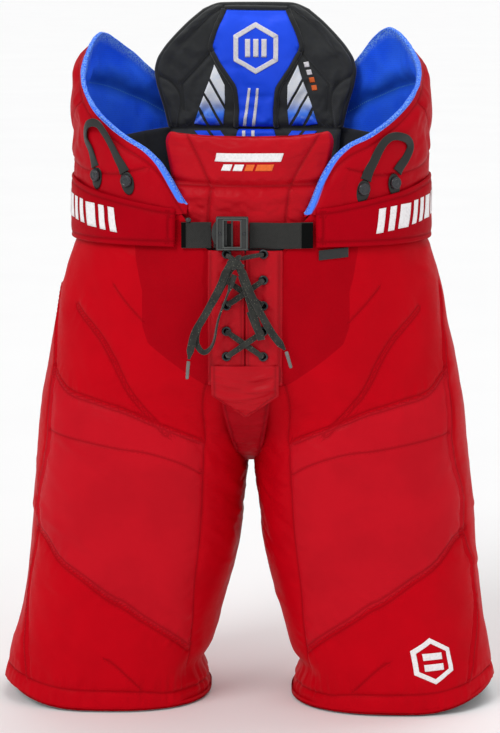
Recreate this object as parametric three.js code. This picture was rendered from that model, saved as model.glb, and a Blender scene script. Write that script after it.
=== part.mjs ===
// Hockey pants: a padded shell with two leg shells, side wings, a spine pad, a front waist pad and a laced fly.
// Millimetres, +Z up, the front faces -Y, +X is the wearer's left. The origin is the waist's centre at belt height.
import * as THREE from "three";
import { mergeVertices } from "three/addons/utils/BufferGeometryUtils.js";

// Driving heights, from the top of the spine pad down to the hem.
const SPINE_TOP = 244;
const SPINE_FOLD = 99;
const WAIST_PAD_FOLD = 54;
const WING_BOTTOM = 38;
const BELT_TOP = 13.2;
const BELT_BOTTOM = -15.6;
const GIRDLE_BOTTOM = -148;
const LEG_TOP = -250;
const CROTCH_DROP = 36;
const HEM_SEAM = -524;
const HEM_BOTTOM = -548;

// Fabric, foam and plastic thicknesses, and the gap kept between touching pieces.
const GAP = 0.4;
const LOOSE_GAP = 1.6; // between two curved layers whose facets don't line up
const SKIN = 2.5;
const PLATE = 2.5;
const WING_FOAM = 11;
const BAND_FOAM = 8;
const WEBBING = 1.6;

// Fly, lace and buckle.
const FLY_HALF_WIDTH = 41;
const FLY_BOTTOM = -166;
const FLY_TOP = -17.5;
const EYELET_X = 20;
const EYELET_TOP = -21;
const EYELET_PITCH = 28;
const EYELET_ROWS = 5;
const EYELET_RADIUS = 5.2;
const LACE_WIDTH = 8.4;
const LACE_THICKNESS = 2;
const KNOT = new THREE.Vector3(-10.7, -160, -30);
const BUCKLE = { left: -31.3, right: 3.9, bottom: -16.6, top: 20.4, back: -147.4, depth: 6.4 };

const ROUNDNESS = 2.4; // exponent of the superellipse that every cross-section follows

const LOOKS = {
  red: { color: "#c30010", roughness: 0.55, metalness: 0 },
  darkRed: { color: "#a6000d", roughness: 0.75, metalness: 0 },
  blue: { color: "#144be1", roughness: 0.8, metalness: 0 },
  black: { color: "#323432", roughness: 0.8, metalness: 0 },
  webbing: { color: "#3a3a37", roughness: 0.85, metalness: 0 },
  lace: { color: "#2b2c2b", roughness: 0.9, metalness: 0 },
  buckle: { color: "#202122", roughness: 0.45, metalness: 0 },
  button: { color: "#26262a", roughness: 0.4, metalness: 0.2 },
  eyelet: { color: "#1d1e20", roughness: 0.35, metalness: 0.9 },
  plastic: { color: "#e6e8ea", roughness: 0.5, metalness: 0 },
  foam: { color: "#54575c", roughness: 0.95, metalness: 0 },
};

const pants = new THREE.Group();
const SIDES = [["left", 1], ["right", -1]];
const lerp = THREE.MathUtils.lerp;
const radians = THREE.MathUtils.degToRad;

// A smooth function through a few [input, value] pairs in rising order of input.
function profile(...pairs) {
  return (t) => {
    const last = pairs.length - 1;
    if (t <= pairs[0][0]) return pairs[0][1];
    if (t >= pairs[last][0]) return pairs[last][1];
    const i = pairs.findIndex((pair) => pair[0] > t) - 1;
    const slope = (j) => {
      const [before, after] = [pairs[Math.max(j - 1, 0)], pairs[Math.min(j + 1, last)]];
      return (after[1] - before[1]) / (after[0] - before[0]);
    };
    const [[t0, a], [t1, b]] = [pairs[i], pairs[i + 1]];
    const span = t1 - t0;
    const s = (t - t0) / span;
    const [s2, s3] = [s * s, s * s * s];
    return (2 * s3 - 3 * s2 + 1) * a + (s3 - 2 * s2 + s) * span * slope(i)
      + (3 * s2 - 2 * s3) * b + (s3 - s2) * span * slope(i + 1);
  };
}

// Half width and half depth of the trunk, and the outer side, inner side and half depth of a leg, against height.
const trunkHalfWidth = profile([-250, 244], [-148, 230], [-75, 219], [-45, 210], [-17, 198], [38, 197],
  [80, 200.5], [125, 204], [173, 200], [200, 195], [225, 186]);
const trunkHalfDepth = profile([-250, 138], [-148, 146], [-75, 146], [-17, 141], [38, 141], [125, 140], [220, 130]);
const legOuter = profile([-548, 283], [-497, 275], [-454, 267], [-377, 256], [-330, 253], [-250, 244]);
const legInner = profile([-548, 46], [-495, 45], [-468, 38], [-426, 28], [-375, 15], [-330, 10], [-275, 4], [-250, 3]);
const legHalfDepth = profile([-548, 110], [-481, 112], [-377, 118], [-250, 130]);

const power = (value) => Math.sign(value) * Math.abs(value) ** (2 / ROUNDNESS);

// A point on the trunk, by side, degrees from the front, height and inset from the outer skin.
function trunkPoint(side, degrees, z, inset) {
  const angle = radians(degrees);
  const x = side * (trunkHalfWidth(z) - inset) * power(Math.sin(angle));
  const y = -(trunkHalfDepth(z) - inset) * power(Math.cos(angle));
  return new THREE.Vector3(x, y, z);
}

// The same on a leg, where 0 degrees is its front, 90 its outside and 270 its inside.
function legPoint(side, degrees, z, inset) {
  const angle = radians(degrees);
  const centre = (legOuter(z) + legInner(z)) / 2;
  const halfWidth = (legOuter(z) - legInner(z)) / 2;
  const x = side * (centre + (halfWidth - inset) * power(Math.sin(angle)));
  const y = -(legHalfDepth(z) - inset) * power(Math.cos(angle));
  return new THREE.Vector3(x, y, z);
}

// The trunk's front skin above a place, as a y.
function trunkFront(x, z) {
  const share = Math.abs(x / trunkHalfWidth(z)) ** ROUNDNESS;
  return -trunkHalfDepth(z) * (1 - share) ** (1 / ROUNDNESS);
}

// Adds a geometry to the model as one closed, outward-facing mesh.
function add(name, look, geometry) {
  const bare = geometry.clone();
  bare.deleteAttribute("normal");
  bare.deleteAttribute("uv");
  const merged = mergeVertices(bare, 1e-3);
  const [a, b, c] = [0, 1, 2].map(() => new THREE.Vector3());
  const { index, attributes: { position } } = merged;
  let volume = 0;
  for (let i = 0; i < index.count; i += 3) {
    [a, b, c].forEach((corner, k) => corner.fromBufferAttribute(position, index.getX(i + k)));
    volume += a.dot(b.cross(c));
  }
  if (volume < 0) index.array.reverse();
  merged.computeVertexNormals();
  const mesh = new THREE.Mesh(merged, new THREE.MeshStandardMaterial(LOOKS[look]));
  mesh.name = name;
  pants.add(mesh);
  return mesh;
}

// Moves every vertex of a unit geometry to where place() says.
function mould(geometry, place) {
  const { position } = geometry.attributes;
  const from = new THREE.Vector3();
  for (let i = 0; i < position.count; i++) {
    const to = place(from.fromBufferAttribute(position, i));
    position.setXYZ(i, to.x, to.y, to.z);
  }
  return geometry;
}

// A curved panel: place(u, v, depth) runs from 0 to 1 across, up and from the outer to the inner face.
function panel(name, look, across, up, place) {
  const box = new THREE.BoxGeometry(1, 1, 1, across, up, 1);
  return add(name, look, mould(box, (p) => place(p.x + 0.5, p.y + 0.5, p.z + 0.5)));
}

// A closed sleeve: place(degrees, v, depth) goes all the way round, up and from the outer to the inner face.
function sleeve(name, look, around, up, place) {
  const steps = Array.from({ length: up + 1 }, (_, i) => i / up);
  const outside = steps.map((v) => new THREE.Vector2(2, v));
  const inside = steps.map((v) => new THREE.Vector2(1, 1 - v));
  const lathe = new THREE.LatheGeometry([...outside, ...inside, outside[0]], around);
  return add(name, look, mould(lathe, (p) => {
    const turn = (Math.round(Math.atan2(p.x, p.z) / (2 * Math.PI) * around) + around) % around;
    return place(turn * 360 / around, p.y, Math.hypot(p.x, p.z) > 1.5 ? 0 : 1);
  }));
}

// A strip of lace or cord along points: an eight-sided flat section, its thickness along Y.
function strip(name, look, points, width, thickness, steps) {
  const section = new THREE.Shape().absellipse(0, 0, thickness / 2, width / 2, 0, 2 * Math.PI);
  const extrudePath = new THREE.CatmullRomCurve3(points.map((p) => new THREE.Vector3(...p)));
  return add(name, look, new THREE.ExtrudeGeometry(section, { extrudePath, steps, curveSegments: 4 }));
}

// Panels of the trunk and legs between two angles and two heights, with a stated inset and thickness.
function trunkPanel(name, look, side, [from, to], [bottom, top], inset, thickness, across, up) {
  return panel(name, look, across, up, (u, v, depth) =>
    trunkPoint(side, lerp(from, to, u), lerp(bottom, top, v), inset + depth * thickness));
}

function legPanel(name, look, side, [from, to], [bottom, top], inset, thickness) {
  return panel(name, look, 12, 8, (u, v, depth) =>
    legPoint(side, lerp(from, to, u), lerp(bottom, top, v), inset + depth * thickness));
}

// Girdle: one wall round the hips, open in front for the fly, its top edges cut back above the belt.
function girdle() {
  const openDegrees = profile([GIRDLE_BOTTOM, 8], [-40, 8.6], [BELT_TOP, 9.6], [WING_BOTTOM, 17]);
  panel("girdle_shell", "red", 48, 8, (u, v, depth) => {
    const z = lerp(GIRDLE_BOTTOM, WING_BOTTOM - GAP, v);
    const opening = openDegrees(z);
    const degrees = lerp(opening, 360 - opening, u);
    return trunkPoint(1, degrees, z, depth * SKIN);
  });
}

// Hip band: a padded strap round the back and sides, lower at its front ends.
function hipBand() {
  const top = profile([22, 25.7], [40, 36.5], [60, 44.4], [82, 57], [180, 52]);
  panel("hip_band", "red", 44, 3, (u, v, depth) => {
    const degrees = lerp(22, 338, u);
    const z = lerp(-14.5, top(Math.min(degrees, 360 - degrees)), v);
    const bulge = BAND_FOAM * (0.62 + 0.38 * Math.sin(Math.PI * v));
    return trunkPoint(1, degrees, z, -LOOSE_GAP - (1 - depth) * bulge);
  });
}

// Belt: two straps that come out of the band's front ends.
function belt() {
  const strap = (name, from, to) => panel(name, "webbing", 8, 2, (u, v, depth) => {
    const x = lerp(from, to, u);
    const z = lerp(BELT_BOTTOM, BELT_TOP, v);
    return new THREE.Vector3(x, trunkFront(x, z) - GAP - (1 - depth) * WEBBING, z);
  });
  strap("belt_strap_right", -72, BUCKLE.left - 5.4);
  strap("belt_strap_left", BUCKLE.right + GAP, 72);
}

// A flat rectangle with a window, used for the buckle's frame.
function frameShape({ left, right, bottom, top }, window) {
  const rectangle = (path, x0, z0, x1, z1) => path.moveTo(x0, z0).lineTo(x1, z0).lineTo(x1, z1).lineTo(x0, z1);
  const shape = rectangle(new THREE.Shape(), left, bottom, right, top);
  shape.holes.push(rectangle(new THREE.Path(), window.left, window.bottom, window.right, window.top));
  return shape;
}

function buckle() {
  const window = { left: BUCKLE.left + 9, right: BUCKLE.right - 8.8, bottom: BUCKLE.bottom + 3.6, top: BUCKLE.top - 3.8 };
  const frame = new THREE.ExtrudeGeometry(frameShape(BUCKLE, window), { depth: BUCKLE.depth, bevelEnabled: false });
  frame.rotateX(Math.PI / 2).translate(0, BUCKLE.back, 0);
  add("buckle_frame", "buckle", frame);
  const hook = new THREE.BoxGeometry(17, 2, 29);
  hook.translate(BUCKLE.left + 3.4, BUCKLE.back + 1.35, (BUCKLE.top + BUCKLE.bottom) / 2);
  add("buckle_hook_plate", "buckle", hook);
}

// Fly: two placket halves with five eyelets each, and the tongue behind them.
function placketFace(z) {
  return -trunkHalfDepth(z) - 3.5;
}

function fly() {
  for (const [word, side] of SIDES) {
    panel(`fly_placket_${word}`, "darkRed", 3, 8, (u, v, depth) => {
      const z = lerp(FLY_BOTTOM, FLY_TOP, v);
      return new THREE.Vector3(side * lerp(GAP, FLY_HALF_WIDTH, u), placketFace(z) + depth * SKIN, z);
    });
    for (let row = 0; row < EYELET_ROWS; row++) eyelet(`eyelet_${word}_${row + 1}`, side, row);
  }
  panel("fly_tongue", "darkRed", 3, 6, (u, v, depth) => {
    const z = lerp(FLY_BOTTOM + 8, FLY_TOP - 4, v);
    return new THREE.Vector3(lerp(-36, 36, u), placketFace(z) + 2 * SKIN + depth * SKIN, z);
  });
}

function eyeletHeight(row) {
  return EYELET_TOP - row * EYELET_PITCH;
}

function eyelet(name, side, row) {
  const hole = EYELET_RADIUS - 2.6;
  const corners = [[EYELET_RADIUS, 0], [EYELET_RADIUS, 0.8], [hole + 0.6, 1.2], [hole, 0.8], [hole, 0], [EYELET_RADIUS, 0]];
  const ring = new THREE.LatheGeometry(corners.map(([r, h]) => new THREE.Vector2(r, h)), 16);
  const z = eyeletHeight(row);
  ring.scale(1, -1, 1).translate(side * EYELET_X, placketFace(z - 6) - GAP, z);
  add(name, "eyelet", ring);
}

// Lace: crossed strands over two pairs of rows, the knot, two bow loops and two tails.
function lacing() {
  const lift = 3.7;
  const strand = (name, from, to, fromX, toX, layer) => {
    const y = placketFace((eyeletHeight(from) + eyeletHeight(to)) / 2) - lift - layer * 2.3;
    const points = [[fromX, y, eyeletHeight(from)], [0, y, (eyeletHeight(from) + eyeletHeight(to)) / 2],
      [toX, y, eyeletHeight(to)]];
    strip(name, "lace", points, LACE_WIDTH - 1.4, LACE_THICKNESS - 0.4, 4);
  };
  for (const [word, upper] of [["upper", 1], ["lower", 3]]) {
    strand(`lace_${word}_back`, upper, upper + 1, -EYELET_X, EYELET_X, 0);
    strand(`lace_${word}_front`, upper, upper + 1, EYELET_X, -EYELET_X, 1);
  }
  const knot = new THREE.SphereGeometry(1, 16, 10).scale(10, 6, 6.5).translate(KNOT.x, KNOT.y, KNOT.z);
  add("lace_knot", "lace", knot);
  strip("lace_tail_right", "lace", [[-20, -164.6, -38.5], [-26, -164.6, -54], [-41, -164.6, -83], [-52.7, -164.6, -103],
    [-57, -164.6, -117], [-60.2, -164.6, -134]], LACE_WIDTH, LACE_THICKNESS, 20);
  strip("lace_tail_left", "lace", [[-2, -164.6, -38], [4, -164.6, -54], [11, -164.6, -70], [29, -164.6, -103],
    [44.4, -164.6, -123]], LACE_WIDTH, LACE_THICKNESS, 20);
  strip("lace_loop_right", "lace", [[-16, -161, -39], [-31, -161, -68], [-48, -161, -96], [-52, -161, -116],
    [-44, -161, -127], [-34, -161, -117], [-28, -161, -90], [-17, -161, -60], [-10.5, -161, -42]],
    LACE_WIDTH - 2, LACE_THICKNESS, 44);
  strip("lace_loop_left", "lace", [[-3, -161, -42], [3, -161, -60], [10, -161, -85], [17, -161, -108],
    [18.3, -159.5, -112.5], [17, -158.4, -108], [11.5, -158.4, -96], [6, -158.4, -82]], LACE_WIDTH, LACE_THICKNESS, 40);
  aglet("aglet_right", [-60.6, -164.6, -136.2], [-62.3, -164.6, -156]);
  aglet("aglet_left", [45.7, -164.6, -124.8], [51, -164.6, -143]);
}

function aglet(name, from, to) {
  const [start, end] = [new THREE.Vector3(...from), new THREE.Vector3(...to)];
  const body = new THREE.CylinderGeometry(2.2, 1.8, start.distanceTo(end), 12);
  const mesh = add(name, "buckle", body);
  mesh.position.lerpVectors(start, end, 0.5);
  mesh.quaternion.setFromUnitVectors(new THREE.Vector3(0, 1, 0), start.clone().sub(end).normalize());
}

// Front waist pad: an upper flap that folds out over a quilted lower part.
const waistPadHalfWidth = profile([-17, 58], [33, 64], [54, 73], [75, 85], [100, 89], [110, 84]);

function waistPadPoint(u, z, depth, thickness) {
  const x = lerp(-1, 1, u) * waistPadHalfWidth(z);
  return new THREE.Vector3(x, -139 + 26 * (x / 90) ** 2 + depth * thickness, z);
}

function waistPad() {
  panel("waist_pad_lower", "red", 10, 6, (u, v, depth) =>
    waistPadPoint(u, lerp(FLY_TOP + GAP, WAIST_PAD_FOLD - GAP, v), depth, 11));
  panel("waist_pad_flap", "red", 12, 6, (u, v, depth) => {
    const top = 106 + 4 * Math.abs(2 * u - 1) ** 3;
    return waistPadPoint(u, lerp(WAIST_PAD_FOLD, top, v), depth, 13);
  });
}

// Side wings: foam pads that rise from the band, with two suspender buttons outside.
const wingTop = profile([18.5, 42], [23, 54], [30, 85], [40, 106], [50, 123], [65, 146], [90, 176], [110, 213],
  [127, 201], [140, 183], [150, 160], [154, 130]);
const WING_FRONT = 19;
const WING_BACK = 152;

function wing(word, side) {
  panel(`hip_wing_${word}`, "red", 26, 7, (u, v, depth) => {
    const degrees = lerp(WING_FRONT, WING_BACK, u);
    return trunkPoint(side, degrees, lerp(WING_BOTTOM, wingTop(degrees), v), depth * WING_FOAM);
  });
  suspenderLoop(word, side);
}

const BUTTON_OUTER = { degrees: 56, z: 56 };
const BUTTON_INNER = { degrees: 38, z: 50 };
const BUTTON_RADIUS = 7;

// The point that stands a stated way out from the wing, and the way out itself.
function wingSurface(side, { degrees, z }, out) {
  const point = trunkPoint(side, degrees, z, 0);
  const ahead = trunkPoint(side, degrees + 1, z, 0).sub(trunkPoint(side, degrees - 1, z, 0));
  const normal = new THREE.Vector3(ahead.y, -ahead.x, 0).multiplyScalar(side).normalize();
  return { point: point.addScaledVector(normal, out), normal };
}

function suspenderLoop(word, side) {
  for (const [place, at] of [["outer", BUTTON_OUTER], ["inner", BUTTON_INNER]]) {
    const { point, normal } = wingSurface(side, at, 5);
    const button = add(`suspender_button_${word}_${place}`, "button",
      new THREE.CylinderGeometry(BUTTON_RADIUS - 0.8, BUTTON_RADIUS, 3, 20));
    button.position.copy(point);
    button.quaternion.setFromUnitVectors(new THREE.Vector3(0, 1, 0), normal);
  }
  const rise = profile([0, 10], [0.3, 38], [0.42, 60], [0.5, 66], [0.58, 61], [0.7, 42], [1, 10]);
  const lean = profile([0, 0], [0.3, 0.16], [0.5, 0.34], [0.7, 0.5], [1, 1]);
  panel(`suspender_loop_${word}`, "webbing", 36, 1, (u, v, depth) => {
    const centre = (t) => ({
      degrees: lerp(BUTTON_OUTER.degrees, BUTTON_INNER.degrees, lean(t)),
      z: lerp(BUTTON_OUTER.z, BUTTON_INNER.z, t) + rise(t),
    });
    const [before, after] = [Math.max(u - 0.02, 0), Math.min(u + 0.02, 1)].map((t) => wingSurface(side, centre(t), 0));
    const { point, normal } = wingSurface(side, centre(u), lerp(2.4, 0.6, depth) + 3 * Math.sin(Math.PI * u) ** 4);
    const along = after.point.sub(before.point).normalize();
    const width = lerp(7, 4, Math.sin(Math.PI * u) ** 0.5);
    return point.addScaledVector(along.cross(normal).normalize(), lerp(-width, width, v));
  });
}

// Spine pad: back cover, plastic plate, front foam and the blue centre panel, all above the lower back pad.
const spineHalfWidth = profile([99, 100], [125, 106], [150, 114], [169, 117], [200, 90], [225, 62], [244, 42]);

function spineLayer(name, look, front, thickness, shrink) {
  panel(name, look, 14, 10, (u, v, depth) => {
    const z = lerp(SPINE_FOLD + shrink, SPINE_TOP - shrink, v);
    const x = lerp(-1, 1, u) * (spineHalfWidth(z) - shrink);
    const curl = 24 * (x / 117) ** 2;
    return new THREE.Vector3(x, front - curl + depth * thickness, z);
  });
}

function spinePad() {
  spineLayer("spine_pad_front", "black", 112, 8, 0);
  spineLayer("spine_pad_plate", "plastic", 120 + GAP, 2, 10);
  spineLayer("spine_pad_back", "black", 122 + 2 * GAP, 4, 1);
  const half = profile([101, 20], [146, 23], [193, 52], [236, 34]);
  panel("spine_pad_panel", "blue", 8, 8, (u, v, depth) => {
    const z = lerp(SPINE_FOLD + 2, SPINE_TOP - 8, v);
    const x = lerp(-1, 1, u) * half(z);
    return new THREE.Vector3(x, 112 - 24 * (x / 117) ** 2 - GAP - (1 - depth) * 1.6, z);
  });
}

// Pads inside the girdle.
function innerPads() {
  trunkPanel("lower_back_pad", "black", 1, [151, 209], [-20, SPINE_FOLD - 10], 19, 11, 12, 6);
  trunkPanel("tailbone_pad", "foam", 1, [168, 192], [GIRDLE_BOTTOM + 8, -24], SKIN + 2, 12, 6, 6);
  for (const [word, side] of SIDES) {
    trunkPanel(`hip_cap_${word}`, "plastic", side, [58, 122], [-140, 28], SKIN + LOOSE_GAP, PLATE, 10, 6);
  }
}

// Hip creases: soft panels that join the girdle's rim to each leg shell, and the stretch gusset between them.
function hipCreases() {
  for (const [word, side] of SIDES) {
    panel(`hip_crease_${word}`, "red", 24, 6, (u, v, depth) => {
      const z = lerp(LEG_TOP + GAP, GIRDLE_BOTTOM - GAP, v);
      const above = trunkPoint(side, lerp(8, 172, u), z, depth * SKIN);
      const below = legPoint(side, lerp(-66, 246, u), z, depth * SKIN);
      return below.lerp(above, THREE.MathUtils.smoothstep(v, 0, 1));
    });
  }
  const path = new THREE.CatmullRomCurve3([[-136, -169], [-122, -205], [-92, -240], [-52, -264], [0, -274],
    [52, -264], [92, -240], [122, -205], [138, -150]].map(([y, z]) => new THREE.Vector3(0, y, z)));
  panel("crotch_gusset", "darkRed", 4, 30, (u, v, depth) => {
    const { x, y, z } = path.getPointAt(v);
    const tangent = path.getTangentAt(v);
    const width = lerp(32, 12, Math.sin(Math.PI * v));
    return new THREE.Vector3(x + lerp(-width, width, u), y - tangent.z * depth * SKIN, z + tangent.y * depth * SKIN);
  });
}

// Leg: outer shell, hem roll, plastic thigh guard and its foam.
function leg(word, side) {
  sleeve(`leg_shell_${word}`, "red", 36, 9, (degrees, v, depth) => {
    const dip = CROTCH_DROP * Math.max(0, -Math.sin(radians(degrees))) ** 3;
    const z = lerp(HEM_SEAM + GAP, LEG_TOP - dip, v);
    return legPoint(side, degrees, z, depth * SKIN);
  });
  sleeve(`hem_roll_${word}`, "red", 36, 2, (degrees, v, depth) => {
    const z = lerp(HEM_BOTTOM, HEM_SEAM, v);
    const roll = 1.2 * Math.sin(Math.PI * v);
    return legPoint(side, degrees, z, depth * 4 - roll * (1 - depth) + 1);
  });
  legPanel(`thigh_guard_${word}`, "plastic", side, [5, 135], [-498, -270], SKIN + 1.2, PLATE);
  legPanel(`thigh_foam_${word}`, "foam", side, [0, 140], [-504, -264], SKIN + PLATE + 2, 9);
}

// Label tab below the band, in front of the left hip.
function labelTab() {
  panel("label_tab", "black", 2, 1, (u, v, depth) => {
    const [x, z] = [lerp(80, 112, u), lerp(-27, -16.5, v) + 3 * (u - 0.5)];
    return new THREE.Vector3(x, trunkFront(x, z) - LOOSE_GAP - (1 - depth) * 1.2, z);
  });
}

girdle();
hipBand();
belt();
buckle();
fly();
lacing();
waistPad();
for (const [word, side] of SIDES) {
  wing(word, side);
  leg(word, side);
}
spinePad();
innerPads();
hipCreases();
labelTab();

export default pants;
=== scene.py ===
import itertools
import math

import bmesh
import bpy
import numpy as np
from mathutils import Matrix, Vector


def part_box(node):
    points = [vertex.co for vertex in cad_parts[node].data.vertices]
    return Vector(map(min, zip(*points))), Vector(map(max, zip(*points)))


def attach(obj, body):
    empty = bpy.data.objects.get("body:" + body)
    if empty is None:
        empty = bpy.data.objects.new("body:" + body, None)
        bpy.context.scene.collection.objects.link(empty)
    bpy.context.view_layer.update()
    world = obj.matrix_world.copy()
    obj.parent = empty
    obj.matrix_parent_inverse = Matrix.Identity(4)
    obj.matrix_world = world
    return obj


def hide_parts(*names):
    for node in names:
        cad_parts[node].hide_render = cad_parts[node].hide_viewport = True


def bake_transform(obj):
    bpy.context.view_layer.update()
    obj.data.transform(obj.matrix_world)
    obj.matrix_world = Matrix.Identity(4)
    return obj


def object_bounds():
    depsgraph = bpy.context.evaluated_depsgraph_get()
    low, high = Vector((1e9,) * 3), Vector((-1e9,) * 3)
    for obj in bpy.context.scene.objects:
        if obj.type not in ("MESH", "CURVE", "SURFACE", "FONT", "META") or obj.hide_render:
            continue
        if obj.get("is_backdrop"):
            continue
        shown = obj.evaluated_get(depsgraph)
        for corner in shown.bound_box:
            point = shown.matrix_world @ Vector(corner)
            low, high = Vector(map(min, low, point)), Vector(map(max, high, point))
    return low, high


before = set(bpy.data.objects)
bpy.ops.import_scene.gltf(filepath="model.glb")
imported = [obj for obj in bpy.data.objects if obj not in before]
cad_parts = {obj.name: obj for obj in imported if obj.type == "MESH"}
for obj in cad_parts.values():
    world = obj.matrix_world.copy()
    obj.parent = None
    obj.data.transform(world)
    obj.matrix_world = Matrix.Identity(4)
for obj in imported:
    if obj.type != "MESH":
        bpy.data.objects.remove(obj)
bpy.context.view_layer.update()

MM = 0.001
SIDES = (("left", 1), ("right", -1))  # the wearer's left is +X

# ---------------------------------------------------------------- camera

TARGET = Vector((-0.0017, 0.0, -0.1676))
DISTANCE = 3.0
TURN = math.radians(2.8)
RISE = math.radians(9.0)
camera_data = bpy.data.cameras.new("camera")
camera_data.lens = 128.1
camera_data.sensor_width = 36
camera = bpy.data.objects.new("camera", camera_data)
camera.location = TARGET + DISTANCE * Vector(
    (math.sin(TURN) * math.cos(RISE), -math.cos(TURN) * math.cos(RISE), math.sin(RISE)))
camera.rotation_euler = (TARGET - camera.location).to_track_quat("-Z", "Y").to_euler()
bpy.context.scene.collection.objects.link(camera)
bpy.context.scene.camera = camera
bpy.context.scene.view_settings.view_transform = "Standard"

# ---------------------------------------------------------------- numbers


def smooth(a, b, v):
    """0 below a, 1 above b, a smooth step between."""
    t = np.clip((np.asarray(v, float) - a) / (b - a), 0, 1)
    return t * t * (3 - 2 * t)


def rounding(v, floor=0.0):
    """A quarter circle from floor at 0 to 1 at 1: the section of a rounded edge."""
    return np.sqrt(np.clip(1 - (1 - np.clip(v, 0, 1)) ** 2, floor, 1))


def bump(v, width):
    return np.exp(-(np.asarray(v) / width) ** 2)


def table(*pairs, sigma=12):
    """A smoothed function through [input, value] pairs."""
    at = np.array([p[0] for p in pairs], float)
    value = np.array([p[1] for p in pairs], float)
    fine = np.arange(-620, 320, 1.0)
    rough = np.interp(fine, at, value)
    reach = np.arange(-36, 37)
    kernel = np.exp(-0.5 * (reach / sigma) ** 2)
    soft = np.convolve(np.pad(rough, 36, mode="edge"), kernel / kernel.sum(), "valid")
    return lambda z: np.interp(z, fine, soft)


def line(*pairs):
    at, value = [p[0] for p in pairs], [p[1] for p in pairs]
    return lambda v: np.interp(v, at, value)


def noise(points, size, seed=0, octaves=2):
    """Value noise from -1 to 1 on points in mm, with features of the given size."""
    total = np.zeros(points.shape[:-1])
    gain = 1.0
    for octave in range(octaves):
        q = points / size * 2**octave + seed * 7.31
        cell = np.floor(q).astype(np.int64)
        f = q - cell
        f = f * f * (3 - 2 * f)
        for corner in itertools.product((0, 1), repeat=points.shape[-1]):
            key = np.zeros(points.shape[:-1], np.int64)
            weight = np.ones(points.shape[:-1])
            for k, c in enumerate(corner):
                key ^= (cell[..., k] + c) * (73856093, 19349663, 83492791)[k]
                weight = weight * (f[..., k] if c else 1 - f[..., k])
            key = (key ^ (key >> 13)) * 1274126177 & 0x7FFFFFFF
            key = (key ^ (key >> 16)) & 0xFFFF
            total += gain * weight * (key / 32767.5 - 1)
        gain *= 0.5
    return total


def unit(v):
    return v / np.maximum(np.linalg.norm(v, axis=-1, keepdims=True), 1e-9)


def curve(points, count):
    """Points spaced evenly along the Catmull-Rom curve through the given ones."""
    p = np.asarray(points, float)
    p = np.vstack([2 * p[0] - p[1], p, 2 * p[-1] - p[-2]])
    t = np.linspace(0, 1, 17)[:-1, None]
    rows = []
    for a, b, c, d in zip(p, p[1:], p[2:], p[3:]):
        rows.append(0.5 * (2 * b + (c - a) * t + (2 * a - 5 * b + 4 * c - d) * t**2
                           + (3 * b - a - 3 * c + d) * t**3))
    dense = np.vstack([*rows, p[-2:-1]])
    run = run_along(dense)
    at = np.linspace(0, run[-1], count)
    return np.stack([np.interp(at, run, dense[:, k]) for k in range(p.shape[1])], -1)


def on_chart(points, scale, count):
    """The curve through (angle, height) points, its angles turned into mm."""
    return curve(np.array(points, float) * (scale, 1), count)


def ripple(a, b, seed):
    """Noise over two running values."""
    return noise(np.stack([a, b], -1), 1.0, seed=seed)


def run_along(path):
    """How far along the path each of its points is."""
    return np.concatenate([[0], np.cumsum(np.linalg.norm(np.diff(path, axis=0), axis=1))])


def plain(rows, columns):
    """Attributes of a small piece whose weave doesn't show."""
    return {"warp": np.zeros((rows, columns)), "weft": np.zeros((rows, columns))}


def circle(count):
    return np.radians(np.linspace(0, 360, count + 1)[:-1])


def tangents(path):
    return unit(np.gradient(np.asarray(path, float), axis=0))


def facing(path):
    """Which way a flat lace on the path lies, and which way it faces."""
    heading = tangents(path)
    across = unit(np.cross(heading, [0.0, 1.0, 0.0]))
    return across, np.cross(across, heading)


def leaned(across, out, angle):
    """Both directions turned about the path."""
    return across * np.cos(angle) + out * np.sin(angle), out * np.cos(angle) - across * np.sin(angle)


def level_line(reach, height):
    return np.array([(-reach, height), (reach, height)], float)


def follow(at, path):
    """Signed distance from chart points to a path, and how far along it the nearest point is."""
    best = np.full(at.shape[:-1], 1e9)
    signed = best.copy()
    along = best.copy()
    run = 0.0
    for a, b in zip(path, path[1:]):
        d = b - a
        size = max(np.hypot(*d), 1e-9)
        t = np.clip(((at - a) @ d) / size**2, 0, 1)
        off = at - (a + t[..., None] * d)
        distance = np.hypot(off[..., 0], off[..., 1])
        near = distance < best
        best = np.where(near, distance, best)
        side = np.where(d[0] * off[..., 1] - d[1] * off[..., 0] < 0, -1.0, 1.0)
        signed = np.where(near, distance * side, signed)
        along = np.where(near, run + t * size, along)
        run += size
    return signed, along


def seams(at, *paths):
    """The nearest of several seams: signed distance and place along it."""
    signed = np.full(at.shape[:-1], 99.0)
    along = np.zeros(at.shape[:-1])
    for path in paths:
        d, s = follow(at, path)
        near = np.abs(d) < np.abs(signed)
        signed = np.where(near, d, signed)
        along = np.where(near, s, along)
    return signed, along


# ---------------------------------------------------------------- meshes


def build(name, points, faces, attributes=None, material=None):
    """A mesh object from points in mm."""
    mesh = bpy.data.meshes.new(name)
    mesh.from_pydata((np.asarray(points, float).reshape(-1, 3) * MM).tolist(), [], faces)
    mesh.polygons.foreach_set("use_smooth", [True] * len(mesh.polygons))
    for key, values in (attributes or {}).items():
        if key == "seam":  # steep away from the seam, so that no line shows where the nearest seam changes
            values = values * (1 + (np.abs(values) / 4) ** 4)
        made = mesh.attributes.new(key, "FLOAT", "POINT")
        made.data.foreach_set("value", np.ascontiguousarray(values, dtype=np.float32).ravel())
    mesh.validate()
    thing = bpy.data.objects.new(name, mesh)
    bpy.context.scene.collection.objects.link(thing)
    if material:
        mesh.materials.append(material)
    return thing


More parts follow.
